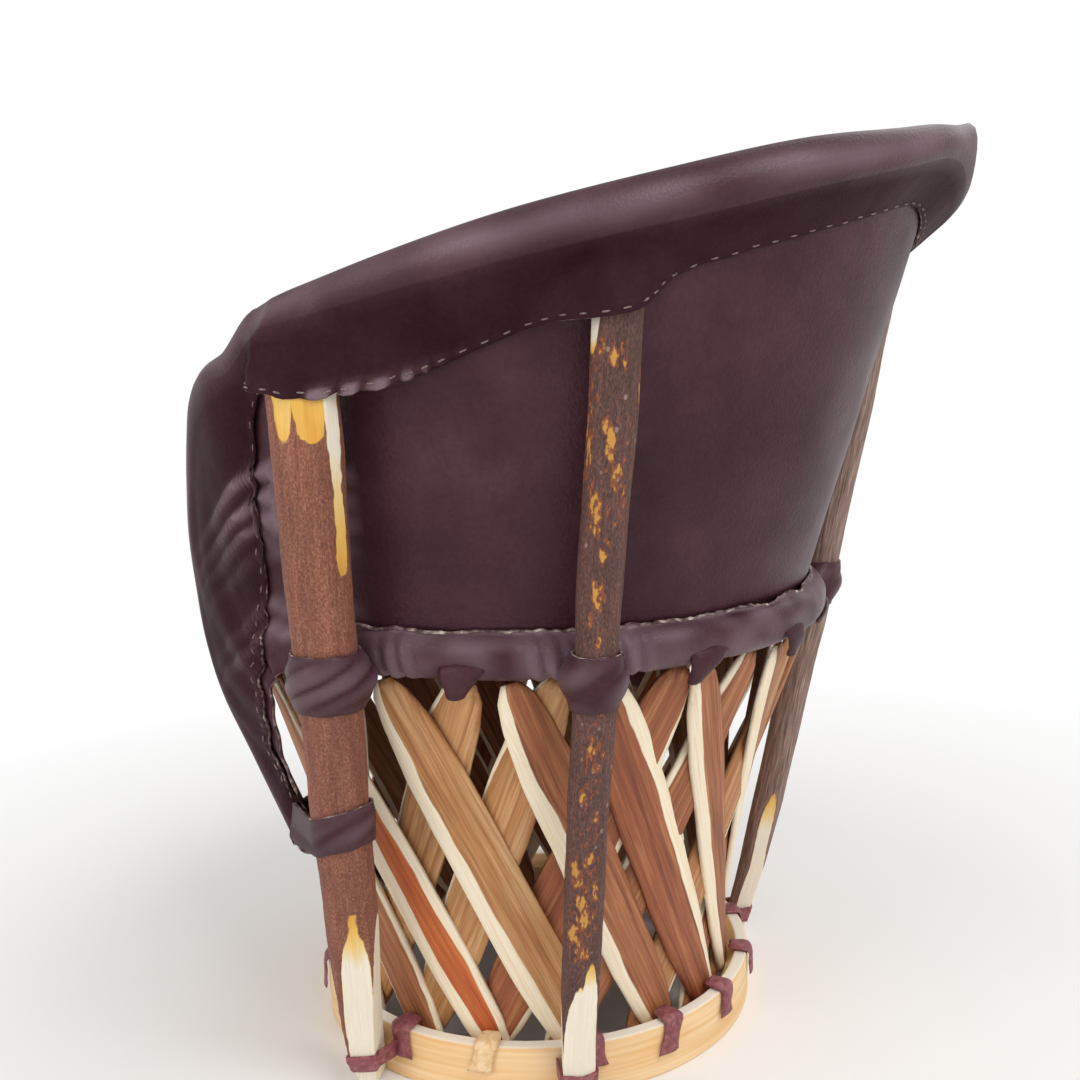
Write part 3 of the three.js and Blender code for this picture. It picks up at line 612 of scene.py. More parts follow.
def knife_cuts(post, height, radius):
    """The flat cuts at a height: each one's way, its distance from the centre, and 0 golden to 1 cream."""
    cuts = []
    for facing, tip, golden, rows in post["cuts"]:
        past = tip - height if tip < seat_hoop_height else height - tip
        if past > 0:
            depth = table_at(rows, past) + knife_chatter * noise.noise(Vector((height / 12, facing, 1)))
            turn = math.radians(facing)
            cuts.append((Vector((math.cos(turn), math.sin(turn))), radius - depth, min(past / golden, 1)))
    return cuts


def whittled(spot, cuts):
    """A point of a post's section after the knife, how much it took off and how cream the wood is there."""
    taken, past_tip = 0.0, 0.0
    for way, limit, past in cuts + cuts:
        over = spot.dot(way) - limit
        if over > 0:
            spot = spot - way * over
            taken += over
            past_tip = past
    return spot, taken, past_tip


# Bark of a young tree: dry, dull, cracked along the pole, in flecks 2 to 3 mm long, or in long fibres.
# Each has its dark, middle and light tones, its flecks' length in mm, and 1 if it has flaked off.
bark = {}
for look, dark, middle, light, fleck, flaking in (
        ("red", "#5A3427", "#834E3B", "#A8745E", 2.326, 0.0),
        ("flaked", "#3B2420", "#5A3A34", "#7E5A50", 3.333, 1.0),
        ("fibrous", "#4E3C34", "#866B60", "#B59D8C", 33.33, 0.0)):
    bark[look], tree = new_material(look + " bark, whittled ends")
    grain = add(tree, "Attribute", attribute_name="grain").outputs["Vector"]
    bare, past_tip, flake = attributes(tree, "bare", "past_tip", "flake")
    flecks = pattern(tree, grain, (1.47, 1.47, fleck), {"Detail": 4, "Roughness": 0.7})
    cracks = pattern(tree, grain, (2.38, 2.38, 41.7), {"Detail": 3, "Roughness": 0.6})
    flecks = add(tree, "Mix", [0.25, flecks, cracks], data_type="FLOAT")
    broad = pattern(tree, grain, (11.1, 11.1, 71.4), {"Detail": 3})
    skin = add(tree, "ValToRGB", [flecks], ramp=[(0.34, dark), (0.5, middle), (0.68, light)])
    skin = shaded(tree, skin, broad, 0.3, 0.7, 0.8, 1.16)
    # Breathing pores of the flaked bark: pale spots 3 mm wide, 12 mm apart.
    pore = pattern(tree, grain, (11.76, 11.76, 16.13), {}, "TexVoronoi", feature="F1")
    pore = add(tree, "MapRange", [pore, 0.16, 0.1, 0, 0.75 * flaking])
    skin = add(tree, "Mix", [pore, skin, linear("#9B8079")], data_type="RGBA")
    # Where bark has flaked off, the ochre inner bark shows with a rust brown border.
    ragged = pattern(tree, grain, (3.333, 3.333, 6.667), {"Detail": 4})
    torn = add(tree, "Math", [ragged, 2.1, flake], operation="MULTIPLY_ADD")
    ochre = add(tree, "MapRange", [torn, 1.6, 1.72])
    inner = add(tree, "Mix", [ochre, linear("#84472A"), linear("#C08C3E")], data_type="RGBA")
    torn_through = add(tree, "MapRange", [torn, 1.36, 1.46, 0, flaking])
    skin = add(tree, "Mix", [torn_through, skin, inner], data_type="RGBA")
    # Bare wood: golden just past a cut's tip, cream further on, with fine fibres.
    fibres = pattern(tree, grain, (0.77, 0.77, 50), {"Detail": 3})
    wood = add(tree, "Math", [broad, 0.5, past_tip], operation="MULTIPLY_ADD")
    wood = add(tree, "ValToRGB", [add(tree, "Math", [wood, 0.25], operation="SUBTRACT")],
               ramp=[(0.0, "#DDA03F"), (0.25, "#EDBC5C"), (0.6, "#F3D592"), (0.9, "#F5EBD6")])
    wood = shaded(tree, wood, fibres, 0.3, 0.7, 0.9, 1.04)
    shaved = add(tree, "MapRange", [bare, 0.1, 0.3])
    colour = add(tree, "Mix", [shaved, skin, wood], data_type="RGBA")
    relief = add(tree, "Mix", [shaved, flecks, fibres], data_type="FLOAT")
    dress(tree, {"Base Color": colour, "Roughness": 0.75}, relief, 0.6, 1.2)

# Where the left back post's bark has flaked off: height, angle round the post, half length, half width, and
# how far down to the ochre it goes.
flakes = ((672, -50, 10, 8, 0.42), (668, -8, 8, 5, 0.5), (664, -20, 5, 2, 0.75), (660, 6, 4, 2, 0.6),
          (615, -84, 60, 9, 0.42), (640, 62, 14, 2.2, 0.8), (618, -30, 5, 2.5, 0.7), (600, -72, 12, 3, 0.5),
          (605, -15, 16, 4, 0.85), (582, 4, 8, 3, 0.7), (560, -50, 12, 3.5, 0.7), (545, -34, 14, 4, 0.8),
          (520, -14, 6, 2.6, 0.75), (488, -18, 13, 5, 0.8), (468, -34, 5, 3, 0.6), (452, -12, 8, 3, 0.6),
          (250, -42, 12, 4.5, 0.8), (232, 20, 8, 3, 0.7), (222, -20, 9, 4, 0.55), (190, -44, 8, 4, 0.8),
          (205, -6, 9, 3, 0.6), (262, 2, 6, 3, 0.6), (360, -18, 6, 3, 0.6), (320, -30, 9, 3, 0.5),
          (300, 10, 6, 3, 0.5), (170, -10, 10, 6, 0.5), (255, -5, 42, 12, 0.28), (200, -20, 26, 11, 0.31),
          (560, 20, 46, 10, 0.31), (350, 0, 40, 10, 0.29))
for name, post in posts.items():
    post_flakes = flakes if post["bark"] == "flaked" else ()
    points, marks = [], {"grain": [], "bare": [], "past_tip": [], "flake": []}
    for i in range(post_steps + 1):
        z = post_foot + (post["top"] - post_foot) * i / post_steps
        centre, out, side, radius = post_at(post, z)
        cuts = knife_cuts(post, z, radius)
        lean = Vector([noise.noise(Vector((z / 110, row, 7))) for row in (0, 5)] + [0]) * pole_wander
        for j in range(post_sides):
            angle = j * 360 / post_sides
            x, y = math.cos(math.radians(angle)), math.sin(math.radians(angle))
            lump = bark_lump * noise.noise(Vector((x * 1.1, y * 1.1, z / 60)))
            lump += bark_grit * noise.noise(Vector((x * 7, y * 7, z / 9)))
            spot, taken, past = whittled(Vector((x, y)) * (radius + min(lump, bark_proud)), cuts)
            points.append(centre + lean * min(1, z / 200) + out * spot.x + side * spot.y)
            flaked = 0
            for level, facing, tall, wide, strength in post_flakes:
                off = math.radians(apart(angle, facing)) * radius
                flaked += strength * hill(z, level, tall) * hill(off, 0, wide)
            values = ((x * radius * mm, y * radius * mm, z * mm), taken, past, min(flaked, 0.9))
            for mark, value in zip(marks.values(), values):
                mark.append(value)
    piece = finish_piece("barked_" + name + "_post", points, tube_faces(post_steps + 1, post_sides, False),
                         bark[post["bark"]], "bark", name + "_post")
    outward(piece)
    for label, values in marks.items():
        note(piece.data, label, values)


# Back hide. One cowhide for the back and both arms, stretched wet from the seat up to the rim hoop,
# folded outward over it and sewn down outside as a flap, with a pocket over each post's top.
hide_thickness = 3
rim_standoff = ((0, 9), (15, 6.75), (35, 0), (104, 0))
flap_length = ((0, 49.7), (30, 56.7), (40, 58.8), (48, 65.1), (56, 67.2), (70, 75), (76, 77), (80, 73),
               (84, 66), (88, 57), (91, 50), (94, 44), (97, 40), (104, 34))
# The arm's front. A row holds the hoop's bearing, its radius and height, the same for the hide's free
# edge, then the flap's length and the hoop's own radius.
arm_front = ((103, 327.6, 665.8, 97, 305, 415, 46, 10.8),
             (110.3, 325.7, 652.5, 98.5, 312, 411, 150, 10.4),
             (118.6, 320.2, 631.1, 100, 317, 408, 196, 10.1),
             (127, 317, 596.4, 101.5, 319, 405, 206, 9.7),
             (132, 318.6, 555.9, 102.5, 319.5, 401, 204, 9.4),
             (134.2, 320.5, 505.5, 103.4, 319.5, 396, 188, 9),
             (134.6, 317, 454.3, 104.2, 319.5, 387, 168, 9),
             (132.6, 311.5, 407.2, 105, 317.9, 373, 146, 9),
             (126.8, 301.9, 361.8, 105.3, 314.7, 350, 108, 8.6),
             (116.2, 291.2, 317.2, 105.2, 307, 316.4, 48, 8.3))
tail_level, tail_edge, tail_flap, tail_rod, tail_gap = 250, (299.3, 103.6, 281.7), 11.9, 7.9, 1.6
cuts_per_row, stations = 40, 568

rows = []
for bearing in [*range(0, 96, 4), 97, 99]:
    rod = rim_rod(bearing)
    hoop = on_shell(rod + hide_gap + curve_at(rim_standoff, bearing), bearing, rim_level(bearing))
    foot = around(cover_foot_radius + rod + hide_gap, bearing, cover_foot)
    foot.z -= (rod + hide_gap) * math.hypot(hoop.x - foot.x, hoop.y - foot.y) / (hoop - foot).length
    rows.append((hoop, foot, curve_at(flap_length, bearing), rod))
for bearing, reach, level, edge_bearing, edge_reach, edge_level, flap, rod in arm_front:
    rows.append((around(reach, bearing, level), around(edge_reach, edge_bearing, edge_level), flap, rod))
centre, out, side, radius = post_at(posts["left_arm"], tail_level)
tail_end = centre - side * (radius + 4 + tail_rod + hide_thickness + tail_gap)
rows.append((tail_end, around(*tail_edge), tail_flap, tail_rod))
mirrored = [(Vector((-hoop.x, hoop.y, hoop.z)), Vector((-foot.x, foot.y, foot.z)), flap, rod)
            for hoop, foot, flap, rod in rows[:0:-1]]
rows = mirrored + rows


def between(before, start, end, after, t):
    """A value on the smooth curve from start to end, given the values on either side."""
    return (start * 2 + (end - before) * t + (before * 2 - start * 5 + end * 4 - after) * t * t
            + (start * 3 - before - end * 3 + after) * t ** 3) * 0.5


# The rows are joined by a smooth curve, then cut again at even steps along the hoop.
fine = []
for i in range(len(rows) - 1):
    four = [rows[max(i - 1, 0)], rows[i], rows[i + 1], rows[min(i + 2, len(rows) - 1)]]
    for step in range(cuts_per_row):
        fine.append([between(*[row[column] for row in four], step / cuts_per_row) for column in range(4)])
fine.append(list(rows[-1]))
run = [0]
for first, second in zip(fine, fine[1:]):
    run.append(run[-1] + (second[0] - first[0]).length)
rim = []
place = 0
for i in range(stations + 1):
    goal = run[-1] * i / stations
    while place < len(fine) - 2 and run[place + 1] < goal:
        place += 1
    t = (goal - run[place]) / (run[place + 1] - run[place])
    row = [first + (second - first) * t for first, second in zip(fine[place], fine[place + 1])]
    rim.append(row + [goal - run[-1] / 2])

frames = []
for i, (hoop, foot, flap, rod, along_rim) in enumerate(rim):
    ahead, behind = rim[min(i + 1, stations)][0], rim[max(i - 1, 0)][0]
    down = (foot - hoop).normalized()
    frames.append((down, (ahead - behind).cross(down).normalized()))


def bulge(hoop, foot, share):
    """How far the round shell stands out past the straight line from the hoop to the hide's foot."""
    spot = hoop.lerp(foot, share)
    reach_top, reach_foot = math.hypot(hoop.x, hoop.y), math.hypot(foot.x, foot.y)
    return reach_top + (reach_foot - reach_top) * share - math.hypot(spot.x, spot.y)


def soft_most(a, b, blend):
    """The larger of two numbers, rounded where they cross."""
    share = max(blend - abs(a - b), 0) / blend
    return max(a, b) + share * share * blend / 4


# Pockets start above the posts' tops and reach 85 mm down them, with leather 4.5 mm clear of the wood.
pocket_above, pocket_below, pocket_fade, pocket_clear, pocket_slope, pocket_blend = 5, 85, 40, 4.5, 1.2, 18
pocket_least, pocket_half_width, pocket_cuts = -60, 70, 8


def over_posts(point, facing):
    """How far the flap must move outward at a point to pass over the posts' tops."""
    most = pocket_least
    for post in posts.values():
        above = max(point.z - post["top"] - pocket_above, post["top"] - pocket_below - point.z, 0)
        if above > pocket_fade or point.x * post["seats"][2].x < 0:
            continue
        height = min(point.z, post["top"])
        centre, out, side, radius = post_at(post, height)
        aside, ahead = (point - centre).dot(side), facing.dot(out)
        if abs(aside) > pocket_half_width or ahead < 0.2:
            continue
        cuts, need = knife_cuts(post, height, radius), pocket_least
        for k in range(-pocket_cuts, pocket_cuts + 1):
            across = k / pocket_cuts * radius * 0.97
            reach = math.sqrt(radius * radius - across * across)
            for way, limit, past in cuts:
                if way.x > 0.05:
                    reach = min(reach, (limit - across * way.y) / way.x)
            need = max(need, reach + pocket_clear - pocket_slope * abs(aside - across) - above)
        most = max(most, (need - (point - centre).dot(out)) / ahead)
    return most


# The arm is laced to its post: pleats run level from the post to the hem, then fan down and forward.
arm_pleats = ((577, 1), (554, 1), (535, 0.8), (512, 0.35), (462, 0.4), (440, 0.5))


def pleats_at(spot):
    """How strongly the arm's pleats stand up at a place."""
    past_hem = max((math.degrees(math.atan2(abs(spot.x), spot.y)) - 102.5) * 5.6, 0)
    level = spot.z + 0.65 * past_hem + 3 * noise.noise(spot / 30)
    return sum(tall * hill(level, ridge, 6.5) for ridge, tall in arm_pleats) * hill(past_hem, 0, 80)


panel_steps, bend_steps, flap_steps = 26, 14, 46
bend_end = panel_steps + bend_steps
columns = bend_end + flap_steps + 1
arm_from, arm_blend, tuck_under_roll = 560, 90, 8
ear_rise, ear_bearing, ear_width = 25, -12.5, 8
gather_length, gather_bearing, gather_width, gather_small, gather_height = 17, 77, 9, 0.2, 9
pleat_height, arm_slack, panel_slack, hem_wander = 7.5, 4, 0.8, 1.2
points, worn = [], []
for i, (hoop, foot, flap, rod, along_rim) in enumerate(rim):
    down, outward_way = frames[i]
    length = (foot - hoop).length
    middle = rod + hide_gap + hide_thickness / 2
    on_arm = min(max((abs(along_rim) - arm_from) / arm_blend, 0), 1)
    # Sewn edge: little gathers between the stitches, large beside the arm post, small elsewhere.
    gather = gather_small
    if on_arm == 0:
        gather = hill(math.degrees(math.atan2(abs(hoop.x), hoop.y)), gather_bearing, gather_width)
    ear = ear_rise * hill(math.degrees(math.atan2(hoop.x, hoop.y)), ear_bearing, ear_width)
    beat = along_rim / gather_length + 0.6 * noise.noise(Vector((along_rim / 40, 3, 0)))
    pillow = abs(math.sin(math.pi * beat)) ** 0.6
    hem = flap + gather * (5 * pillow - 2) + hem_wander * noise.noise(Vector((along_rim / 22, 9, 0)))
    end_out = -middle + hide_thickness + 0.5
    touch = math.atan2(hem, end_out) - math.acos(min(middle / math.hypot(hem, end_out), 1))
    flap_start = (middle * math.sin(touch), middle * math.cos(touch))
    for j in range(columns):
        ripple = 0
        if j < panel_steps:
            share = 1 - j / panel_steps
            along, out = share * (length + tuck_under_roll * (1 - on_arm)), -middle + bulge(hoop, foot, share)
            ripple = panel_slack * noise.noise(Vector((along_rim / 90, along / 70, 5)))
        elif j <= bend_end:
            turn = math.pi - (math.pi + touch) * (j - panel_steps) / bend_steps
            along, out = -middle * math.sin(turn), middle * math.cos(turn)
        else:
            share = (j - bend_end) / flap_steps
            along, out = [start + (end - start) * share for start, end in zip(flap_start, (hem, end_out))]
            out += bulge(hoop, foot, along / length)
            near_hem = hill((1 - share) * hem, 3, 7)
            flutter = 1.4 * math.sin(math.pi * beat * 2) * hill((1 - share) * hem, 0, 26)
            ripple = gather * (gather_height * pillow * near_hem + flutter)
        spot = hoop + down * along + outward_way * (out + ripple)
        if panel_steps <= j <= bend_end:
            spot += (outward_way * 0.1 - down) * ear * max(math.sin(turn), 0) ** 2
        pleats = 0
        if on_arm:
            reached = min(max(along - 8, 0) / 25, 1) * min(on_arm * 3, 1)
            pleats = pleats_at(spot) * reached
            slanting = noise.noise(Vector(((along + hoop.z) / 75, (along - hoop.z) / 160, 4)))
            spot += outward_way * (pleat_height * pleats + arm_slack * slanting * reached)
        if j > panel_steps + bend_steps // 2:
            spot += outward_way * soft_most(over_posts(spot, outward_way), 0, pocket_blend)
        points.append(spot)
        # Painted light: a pale lilac grey painted highlight on the rim's outer turn, the gathers and the
        # pleats, and painted shade darkening the flap under the rim.
        patchy = 0.75 + 0.9 * noise.noise(Vector((along_rim / 60, j / 5, 6)))
        painted_lightness = 0.62 * patchy * hill(j, panel_steps + bend_steps * 0.74, 2.2)
        if j > bend_end:
            painted_lightness += gather * pillow ** 2 * near_hem * (2.9 if on_arm == 0 else 1)
            painted_lightness -= 0.85 * min(along / 20, 1)
        worn.append(max(-1, min(1, painted_lightness + 2.0 * pleats)))
back_points = points

# Grain pores stand 2 mm apart; wax and handling leave broad cloudy patches that shine more.
leather, tree = new_material("dark brown cowhide, waxed")
place = add(tree, "TexCoord").outputs["Object"]
pores = pattern(tree, place, (1.923,) * 3, {}, "TexVoronoi", feature="F1")
soft = pattern(tree, place, (4.167,) * 3, {"Detail": 3})
cloud = pattern(tree, place, (111.1,) * 3, {"Detail": 3, "Roughness": 0.6})
hide_colour = add(tree, "ValToRGB", [cloud], ramp=[(0.3, "#3C2027"), (0.5, "#472830"), (0.72, "#54333B")])
hide_colour = shaded(tree, hide_colour, soft, 0.3, 0.7, 0.86, 1.1)
# Painted light: folds and crests that catch the light are mixed toward lilac grey as a painted highlight, and
# the flap, which lies in the shade of the rim, is darkened as painted shade.
painted_light_share, = attributes(tree, "worn")
hide_colour = shaded(tree, hide_colour, painted_light_share, -1, 0, 0.5, 0.9)
painted_lightness = add(tree, "MapRange", [painted_light_share, 0, 1, 0, 0.6])
hide_colour = add(tree, "Mix", [painted_lightness, hide_colour, linear("#8E7780")], data_type="RGBA")
shine = add(tree, "MapRange", [cloud, 0.3, 0.7, 0.46, 0.34])
dull = add(tree, "Math", [shine, add(tree, "MapRange", [painted_light_share, -0.9, 0, 0.22, 0])], operation="ADD")
gloss = add(tree, "MapRange", [painted_light_share, -1, 1, 0.08, 0.62])
relief = add(tree, "Math", [pores, 0.6, soft], operation="MULTIPLY_ADD")
dress(tree, {"Base Color": hide_colour, "Roughness": dull, "Specular IOR Level": gloss, "IOR": 1.33},
      relief, 0.35, 1.2)

# The undyed middle of the hide shows pale in places along the cut.
cut_edge, tree = new_material("raw cut edge of cowhide")
fuzz = pattern(tree, add(tree, "TexCoord").outputs["Object"], (7.692,) * 3, {"Detail": 4})
raw = add(tree, "ValToRGB", [fuzz], ramp=[(0.4, "#4A3036"), (0.55, "#86706C"), (0.68, "#CDBDB2")])
dress(tree, {"Base Color": raw, "Roughness": 0.8})


def sheet_piece(name, points, columns, thickness, slot_name, cad_node, closed=False, worn=()):
    """A grid of points made a leather sheet of a thickness in mm, its cut edges left raw."""
    rows = len(points) // columns
    faces = []
    for i in range(rows if closed else rows - 1):
        n = (i + 1) % rows
        for j in range(columns - 1):
            faces.append((i * columns + j, i * columns + j + 1, n * columns + j + 1, n * columns + j))
    piece = finish_piece(name, points, faces, leather, slot_name, cad_node)
    piece.data.materials.append(cut_edge)
    if worn:
        note(piece.data, "worn", worn)
    wall = piece.modifiers.new("hide", "SOLIDIFY")
    wall.thickness = thickness * mm
    wall.offset = 0
    wall.material_offset_rim = 1
    wall.use_even_offset = False
    keep_made(piece)
    outward(piece)
    return piece


back = sheet_piece("cowhide_back", points, columns, hide_thickness, "leather", "back_hide", worn=worn)


# Hoops. The seat and the rim each hang on a sapling, peeled and bent green. Both lie inside the leather,
# and only an end or a glimpse shows. Dry, it has grey and tan weather streaks about 10 mm long.
peeled, tree = new_material("peeled sapling, dry")
place = add(tree, "TexCoord").outputs["Object"]
streaks = pattern(tree, place, (10.53,) * 3, {"Detail": 5, "Roughness": 0.6})
tan = add(tree, "ValToRGB", [streaks], ramp=[(0.3, "#9B7448"), (0.5, "#C69C68"), (0.7, "#DABB8C")])
dress(tree, {"Base Color": tan, "Roughness": 0.6}, streaks, 0.3, 1)
for name in ("seat_hoop", "rim_hoop"):
    for material_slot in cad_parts[name].material_slots:
        material_slot.material = peeled


# Seat. A hide stretched wet over the seat hoop, which dries to a shallow dish. It is pulled tight and
# puckers a little at its edge, where the roll holds it.
seat_edge_radius, seat_edge_height, seat_sag, seat_pucker, seat_slack = 264.6, 434.5, 14, 1.2, 1.6
seat_steps = 76
points = []
for i in range(seat_steps + 1):
    for j in range(seat_steps + 1):
        u, v = 2 * i / seat_steps - 1, 2 * j / seat_steps - 1
        x, y = u * math.sqrt(1 - v * v / 2), v * math.sqrt(1 - u * u / 2)
        share = min(math.hypot(x, y), 1)
        bearing = math.atan2(x, y)
        rise = seat_edge_height - seat_sag * (1 - share * share)
        pucker = noise.noise(Vector((math.cos(bearing) * 9, math.sin(bearing) * 9, 2)))
        rise += seat_pucker * share ** 14 * pucker
        rise += seat_slack * (1 - share ** 4) * noise.noise(Vector((x * 2.2, y * 2.2, 8)))
        points.append(Vector((x * seat_edge_radius, y * seat_edge_radius, rise)))
seat = sheet_piece("cowhide_seat", points, seat_steps + 1, hide_thickness, "leather", "seat_leather")


# Seat roll. The edge of the seat's leather, rolled round the seat hoop and sewn to the back hide. Its raw
# edge stands up on top as a ragged lip, and the posts' bands and slat ties pinch it in.
roll_reach, roll_inner_reach, roll_rise, roll_drop = 19.5, 12.5, 16.5, 20.5
roll_stations, roll_steps, lip_steps = 720, 34, 5
lip_turn, roll_wrap, lip_out, lip_up, lip_flop = 66, 300, 6.4, 19, 7
# How deep the arm posts squeeze the roll, each post folds it and a tie dents it, and how wide in degrees.
post_squeeze, squeeze_width, post_fold, fold_width, tie_dent, dent_width = 6, 11, 1.9, 4, 2.2, 2.6
fold_start, fold_reach = 3, 300
points, worn = [], []
for i in range(roll_stations):
    bearing = i * 360 / roll_stations
    run_round = around(1, bearing, 0)
    squeeze = post_squeeze * sum(hill(apart(bearing, posts[name]["bearings"][1]), 0, squeeze_width)
                                 for name in ("left_arm", "right_arm"))
    fold = 0
    for post in posts.values():
        off = abs(apart(bearing, post["bearings"][1])) - math.degrees(post["radii"][1] / fold_reach)
        fold += hill(off, fold_start, fold_width)
    tied = max(hill(apart(bearing, first_pair - pair_step * pair), 0, dent_width)
               for pair in range(pair_count))
    ragged = 2.4 * noise.noise(run_round * 13) + 1.6 * noise.noise(run_round * 47)
    flop = max(0, noise.noise(run_round * 9 + Vector((0, 0, 4)))) * lip_flop
    lip_top = Vector((lip_out + flop, lip_up + ragged - flop * 0.7))
    for j in range(lip_steps + roll_steps + 1):
        if j < lip_steps:
            share, turn = j / lip_steps, math.radians(lip_turn)
            foot = Vector(((roll_reach - squeeze) * math.cos(turn), roll_rise * math.sin(turn)))
            spot = lip_top.lerp(foot, share)
            spot.x -= 1.4 * math.sin(math.pi * share)
        else:
            share = (j - lip_steps) / roll_steps
            turn = math.radians(lip_turn - roll_wrap * share)
            across, rise = math.cos(turn), math.sin(turn)
            if rise < 0 < across:
                across, rise = across ** 0.65, -(-rise) ** 0.8
            wide = roll_reach - squeeze if across > 0 else roll_inner_reach
            tall = roll_rise if rise > 0 else roll_drop
            dent = tie_dent * tied * hill(share, 0.45, 0.15)
            crease = fold * post_fold * math.sin(apart(bearing, 0) * 2.1 + share * 7) * hill(share, 0.3, 0.3)
            swell = 1.1 * noise.noise(Vector((run_round.x * 6, run_round.y * 6, share * 3)))
            grow = -dent + crease - abs(swell) * 0.8
            spot = Vector((across * (wide + grow), rise * (tall + grow)))
        points.append(around(seat_hoop_radius + spot.x, bearing, seat_hoop_height + spot.y))
        # Painted highlight: the whole roll is lightened toward lilac grey, more in patches, along the folds
        # beside the posts and on the flopped lip, standing in for its sheen.
        patchy = noise.noise(Vector((run_round.x * 11, run_round.y * 11, j / 6)))
        on_lip = 0.08 * flop + 0.25 if j < lip_steps else 0
        worn.append(max(0, min(1, 0.3 + 0.55 * patchy + 0.35 * fold + on_lip)))
roll = sheet_piece("cowhide_seat_roll", points, lip_steps + roll_steps + 1, hide_thickness, "leather",
                   "seat_roll", closed=True, worn=worn)


# Bands. Strips of raw cowhide tied round each post wet, at the seat and on the arm posts lower down too.
# They shrink as they dry, in broad slanting folds, and hold the post to the hoop behind it.
band_sides, band_steps, band_thickness = 96, 18, 2.4
band_clear, band_swell, band_fold, roll_swell, low_band_slant, hoop_reach = 1.5, 4, 3.2, 6, 9, 49


def rim_end(left, height):
    """The rim hoop's centre and radius near its end at a height."""
    ends = rim[:-stations // 8:-1] if left else rim[:stations // 8]
    hoop, foot, flap, rod, along_rim = min(ends, key=lambda row: abs(row[0].z - height))
    return hoop, rod


for name, post in posts.items():
    left = post["seats"][0].x > 0
    backward = 1 if left else -1
    # A band's kind, the height of its middle and how tall it is.
    kinds = [("seat_band", 412, 50), ("low_band", 273.5, 36)] if "arm" in name else [("seat_band", 415, 46)]
    for label, middle, tall in kinds:
        points, worn = [], []
        for i in range(band_sides):
            angle = i * 360 / band_sides
            x, y = math.cos(math.radians(angle)), math.sin(math.radians(angle))
            against_roll = hill(apart(angle, 180), 0, 34)
            beside_roll = hill(abs(apart(angle, 180)), 52, 26)
            for j in range(band_steps + 1):
                share = j / band_steps
                wave = 1.6 * noise.noise(Vector((x * 2.2, y * 2.2, middle / 50)))
                slope = low_band_slant * y * backward if label == "low_band" else 0
                z = middle + tall * (0.5 - share) + wave + slope
                centre, out, side, radius = post_at(post, z)
                way = out * x + side * y
                full = math.sin(math.pi * share) ** 1.1
                round_post = math.radians(apart(angle, 40 * backward)) * radius / 32
                slant = Vector((round_post + share * 1.6, share * tall / 42, middle))
                crest = min(abs(noise.noise(slant)) * 2.6, 1)
                folds = (crest - 0.55) * band_fold
                if label == "seat_band":
                    skin = band_clear + full * (band_swell * (1 - against_roll) + 1)
                    skin += folds * full ** 0.5 * (1 - against_roll)
                    skin += roll_swell * beside_roll * math.sin(math.pi * share)
                    spot = centre + way * (radius + max(skin, 1.4))
                else:
                    hoop, rod = rim_end(left, z)
                    toward = hoop - centre
                    toward.z = 0
                    toward *= min(1, hoop_reach / toward.length)
                    near, far = radius + 1.9 + full * 1.6, rod + hide_thickness + band_thickness
                    spot = centre + way * near
                    if toward.dot(way) + far > near:
                        spot = centre + toward + way * far
                    spot += way * folds * 0.45 * full
                points.append(spot)
                # Painted highlight: the crests of the folds are lightened toward lilac grey, as if catching
                # the light.
                worn.append(max(0, 0.12 + 0.75 * (crest - 0.45) * full))
        band = sheet_piece("cowhide_" + name + "_" + label, points, band_steps + 1, band_thickness, "leather",
                           name + "_" + label, closed=True, worn=worn)


# Ties. Straps of burgundy dyed cowhide, knotted wet: one round the foot of each post, one over the ring at
# each pair of slats with its tail left hanging, and a lobe under the seat roll at each pair of slat tops.
# Wet leather dries in wrinkles 4 to 8 mm apart, lighter along their crests.
finishes = []
for label, ramp, roughness in (
        ("burgundy dyed cowhide strap", [(0.3, "#6F3840"), (0.5, "#8A4A50"), (0.72, "#A56A6C")], 0.5),
        ("undyed rawhide strap", [(0.3, "#D9AF7C"), (0.5, "#EAC796"), (0.72, "#F2DAB4")], 0.45)):
    material, tree = new_material(label)
    place = add(tree, "TexCoord").outputs["Object"]
    wrinkle = pattern(tree, place, (6.667,) * 3, {"Detail": 4, "Distortion": 0.8})
    colour = add(tree, "ValToRGB", [wrinkle], ramp=ramp)
    dress(tree, {"Base Color": colour, "Roughness": roughness}, wrinkle, 0.55, 1.5)
    finishes.append(material)
strap_leather, rawhide = finishes

strap_thickness, foot_tie_level, foot_tie_height, foot_tie_rows = 2.4, 32, 17, 6
wrap_end, on_post, on_ring, loose_share = 92, 1.7, 1.6, 0.55
turns = [-100, -96, *range(-wrap_end, wrap_end + 1, 4), 96, 100]
for name, post in posts.items():
    points = []
    for turn in turns:
        for j in range(foot_tie_rows + 1):
            crumple = 0.8 * noise.noise(Vector((turn / 30, j / 9, foot_tie_height)))
            z = foot_tie_level + foot_tie_height * (0.5 - j / foot_tie_rows) + crumple
            centre, out, side, radius = post_at(post, z)
            angle = math.radians(max(-wrap_end, min(wrap_end, turn)))
            reach = radius
            for way, limit, past in knife_cuts(post, z, radius):
                slope = math.cos(angle - math.atan2(way.y, way.x))
                if slope > 0.2:
                    reach = min(reach, limit / slope)
            spot = centre + (out * math.cos(angle) + side * math.sin(angle)) * (reach + on_post)
            if abs(turn) > wrap_end:
                off_ring = math.hypot(spot.x, spot.y) - (ring_outer + on_ring)
                spot -= out * off_ring * (loose_share if abs(turn) == 96 else 1)
            points.append(spot + out * 0.5 * noise.noise(Vector((turn / 14, z / 5, 3))))
    tie = sheet_piece("cowhide_" + name + "_foot_tie", points, foot_tie_rows + 1, strap_thickness,
                      "tie_leather", name + "_foot_tie")
    tie.data.materials[0] = strap_leather
    tie.data.materials[1] = strap_leather

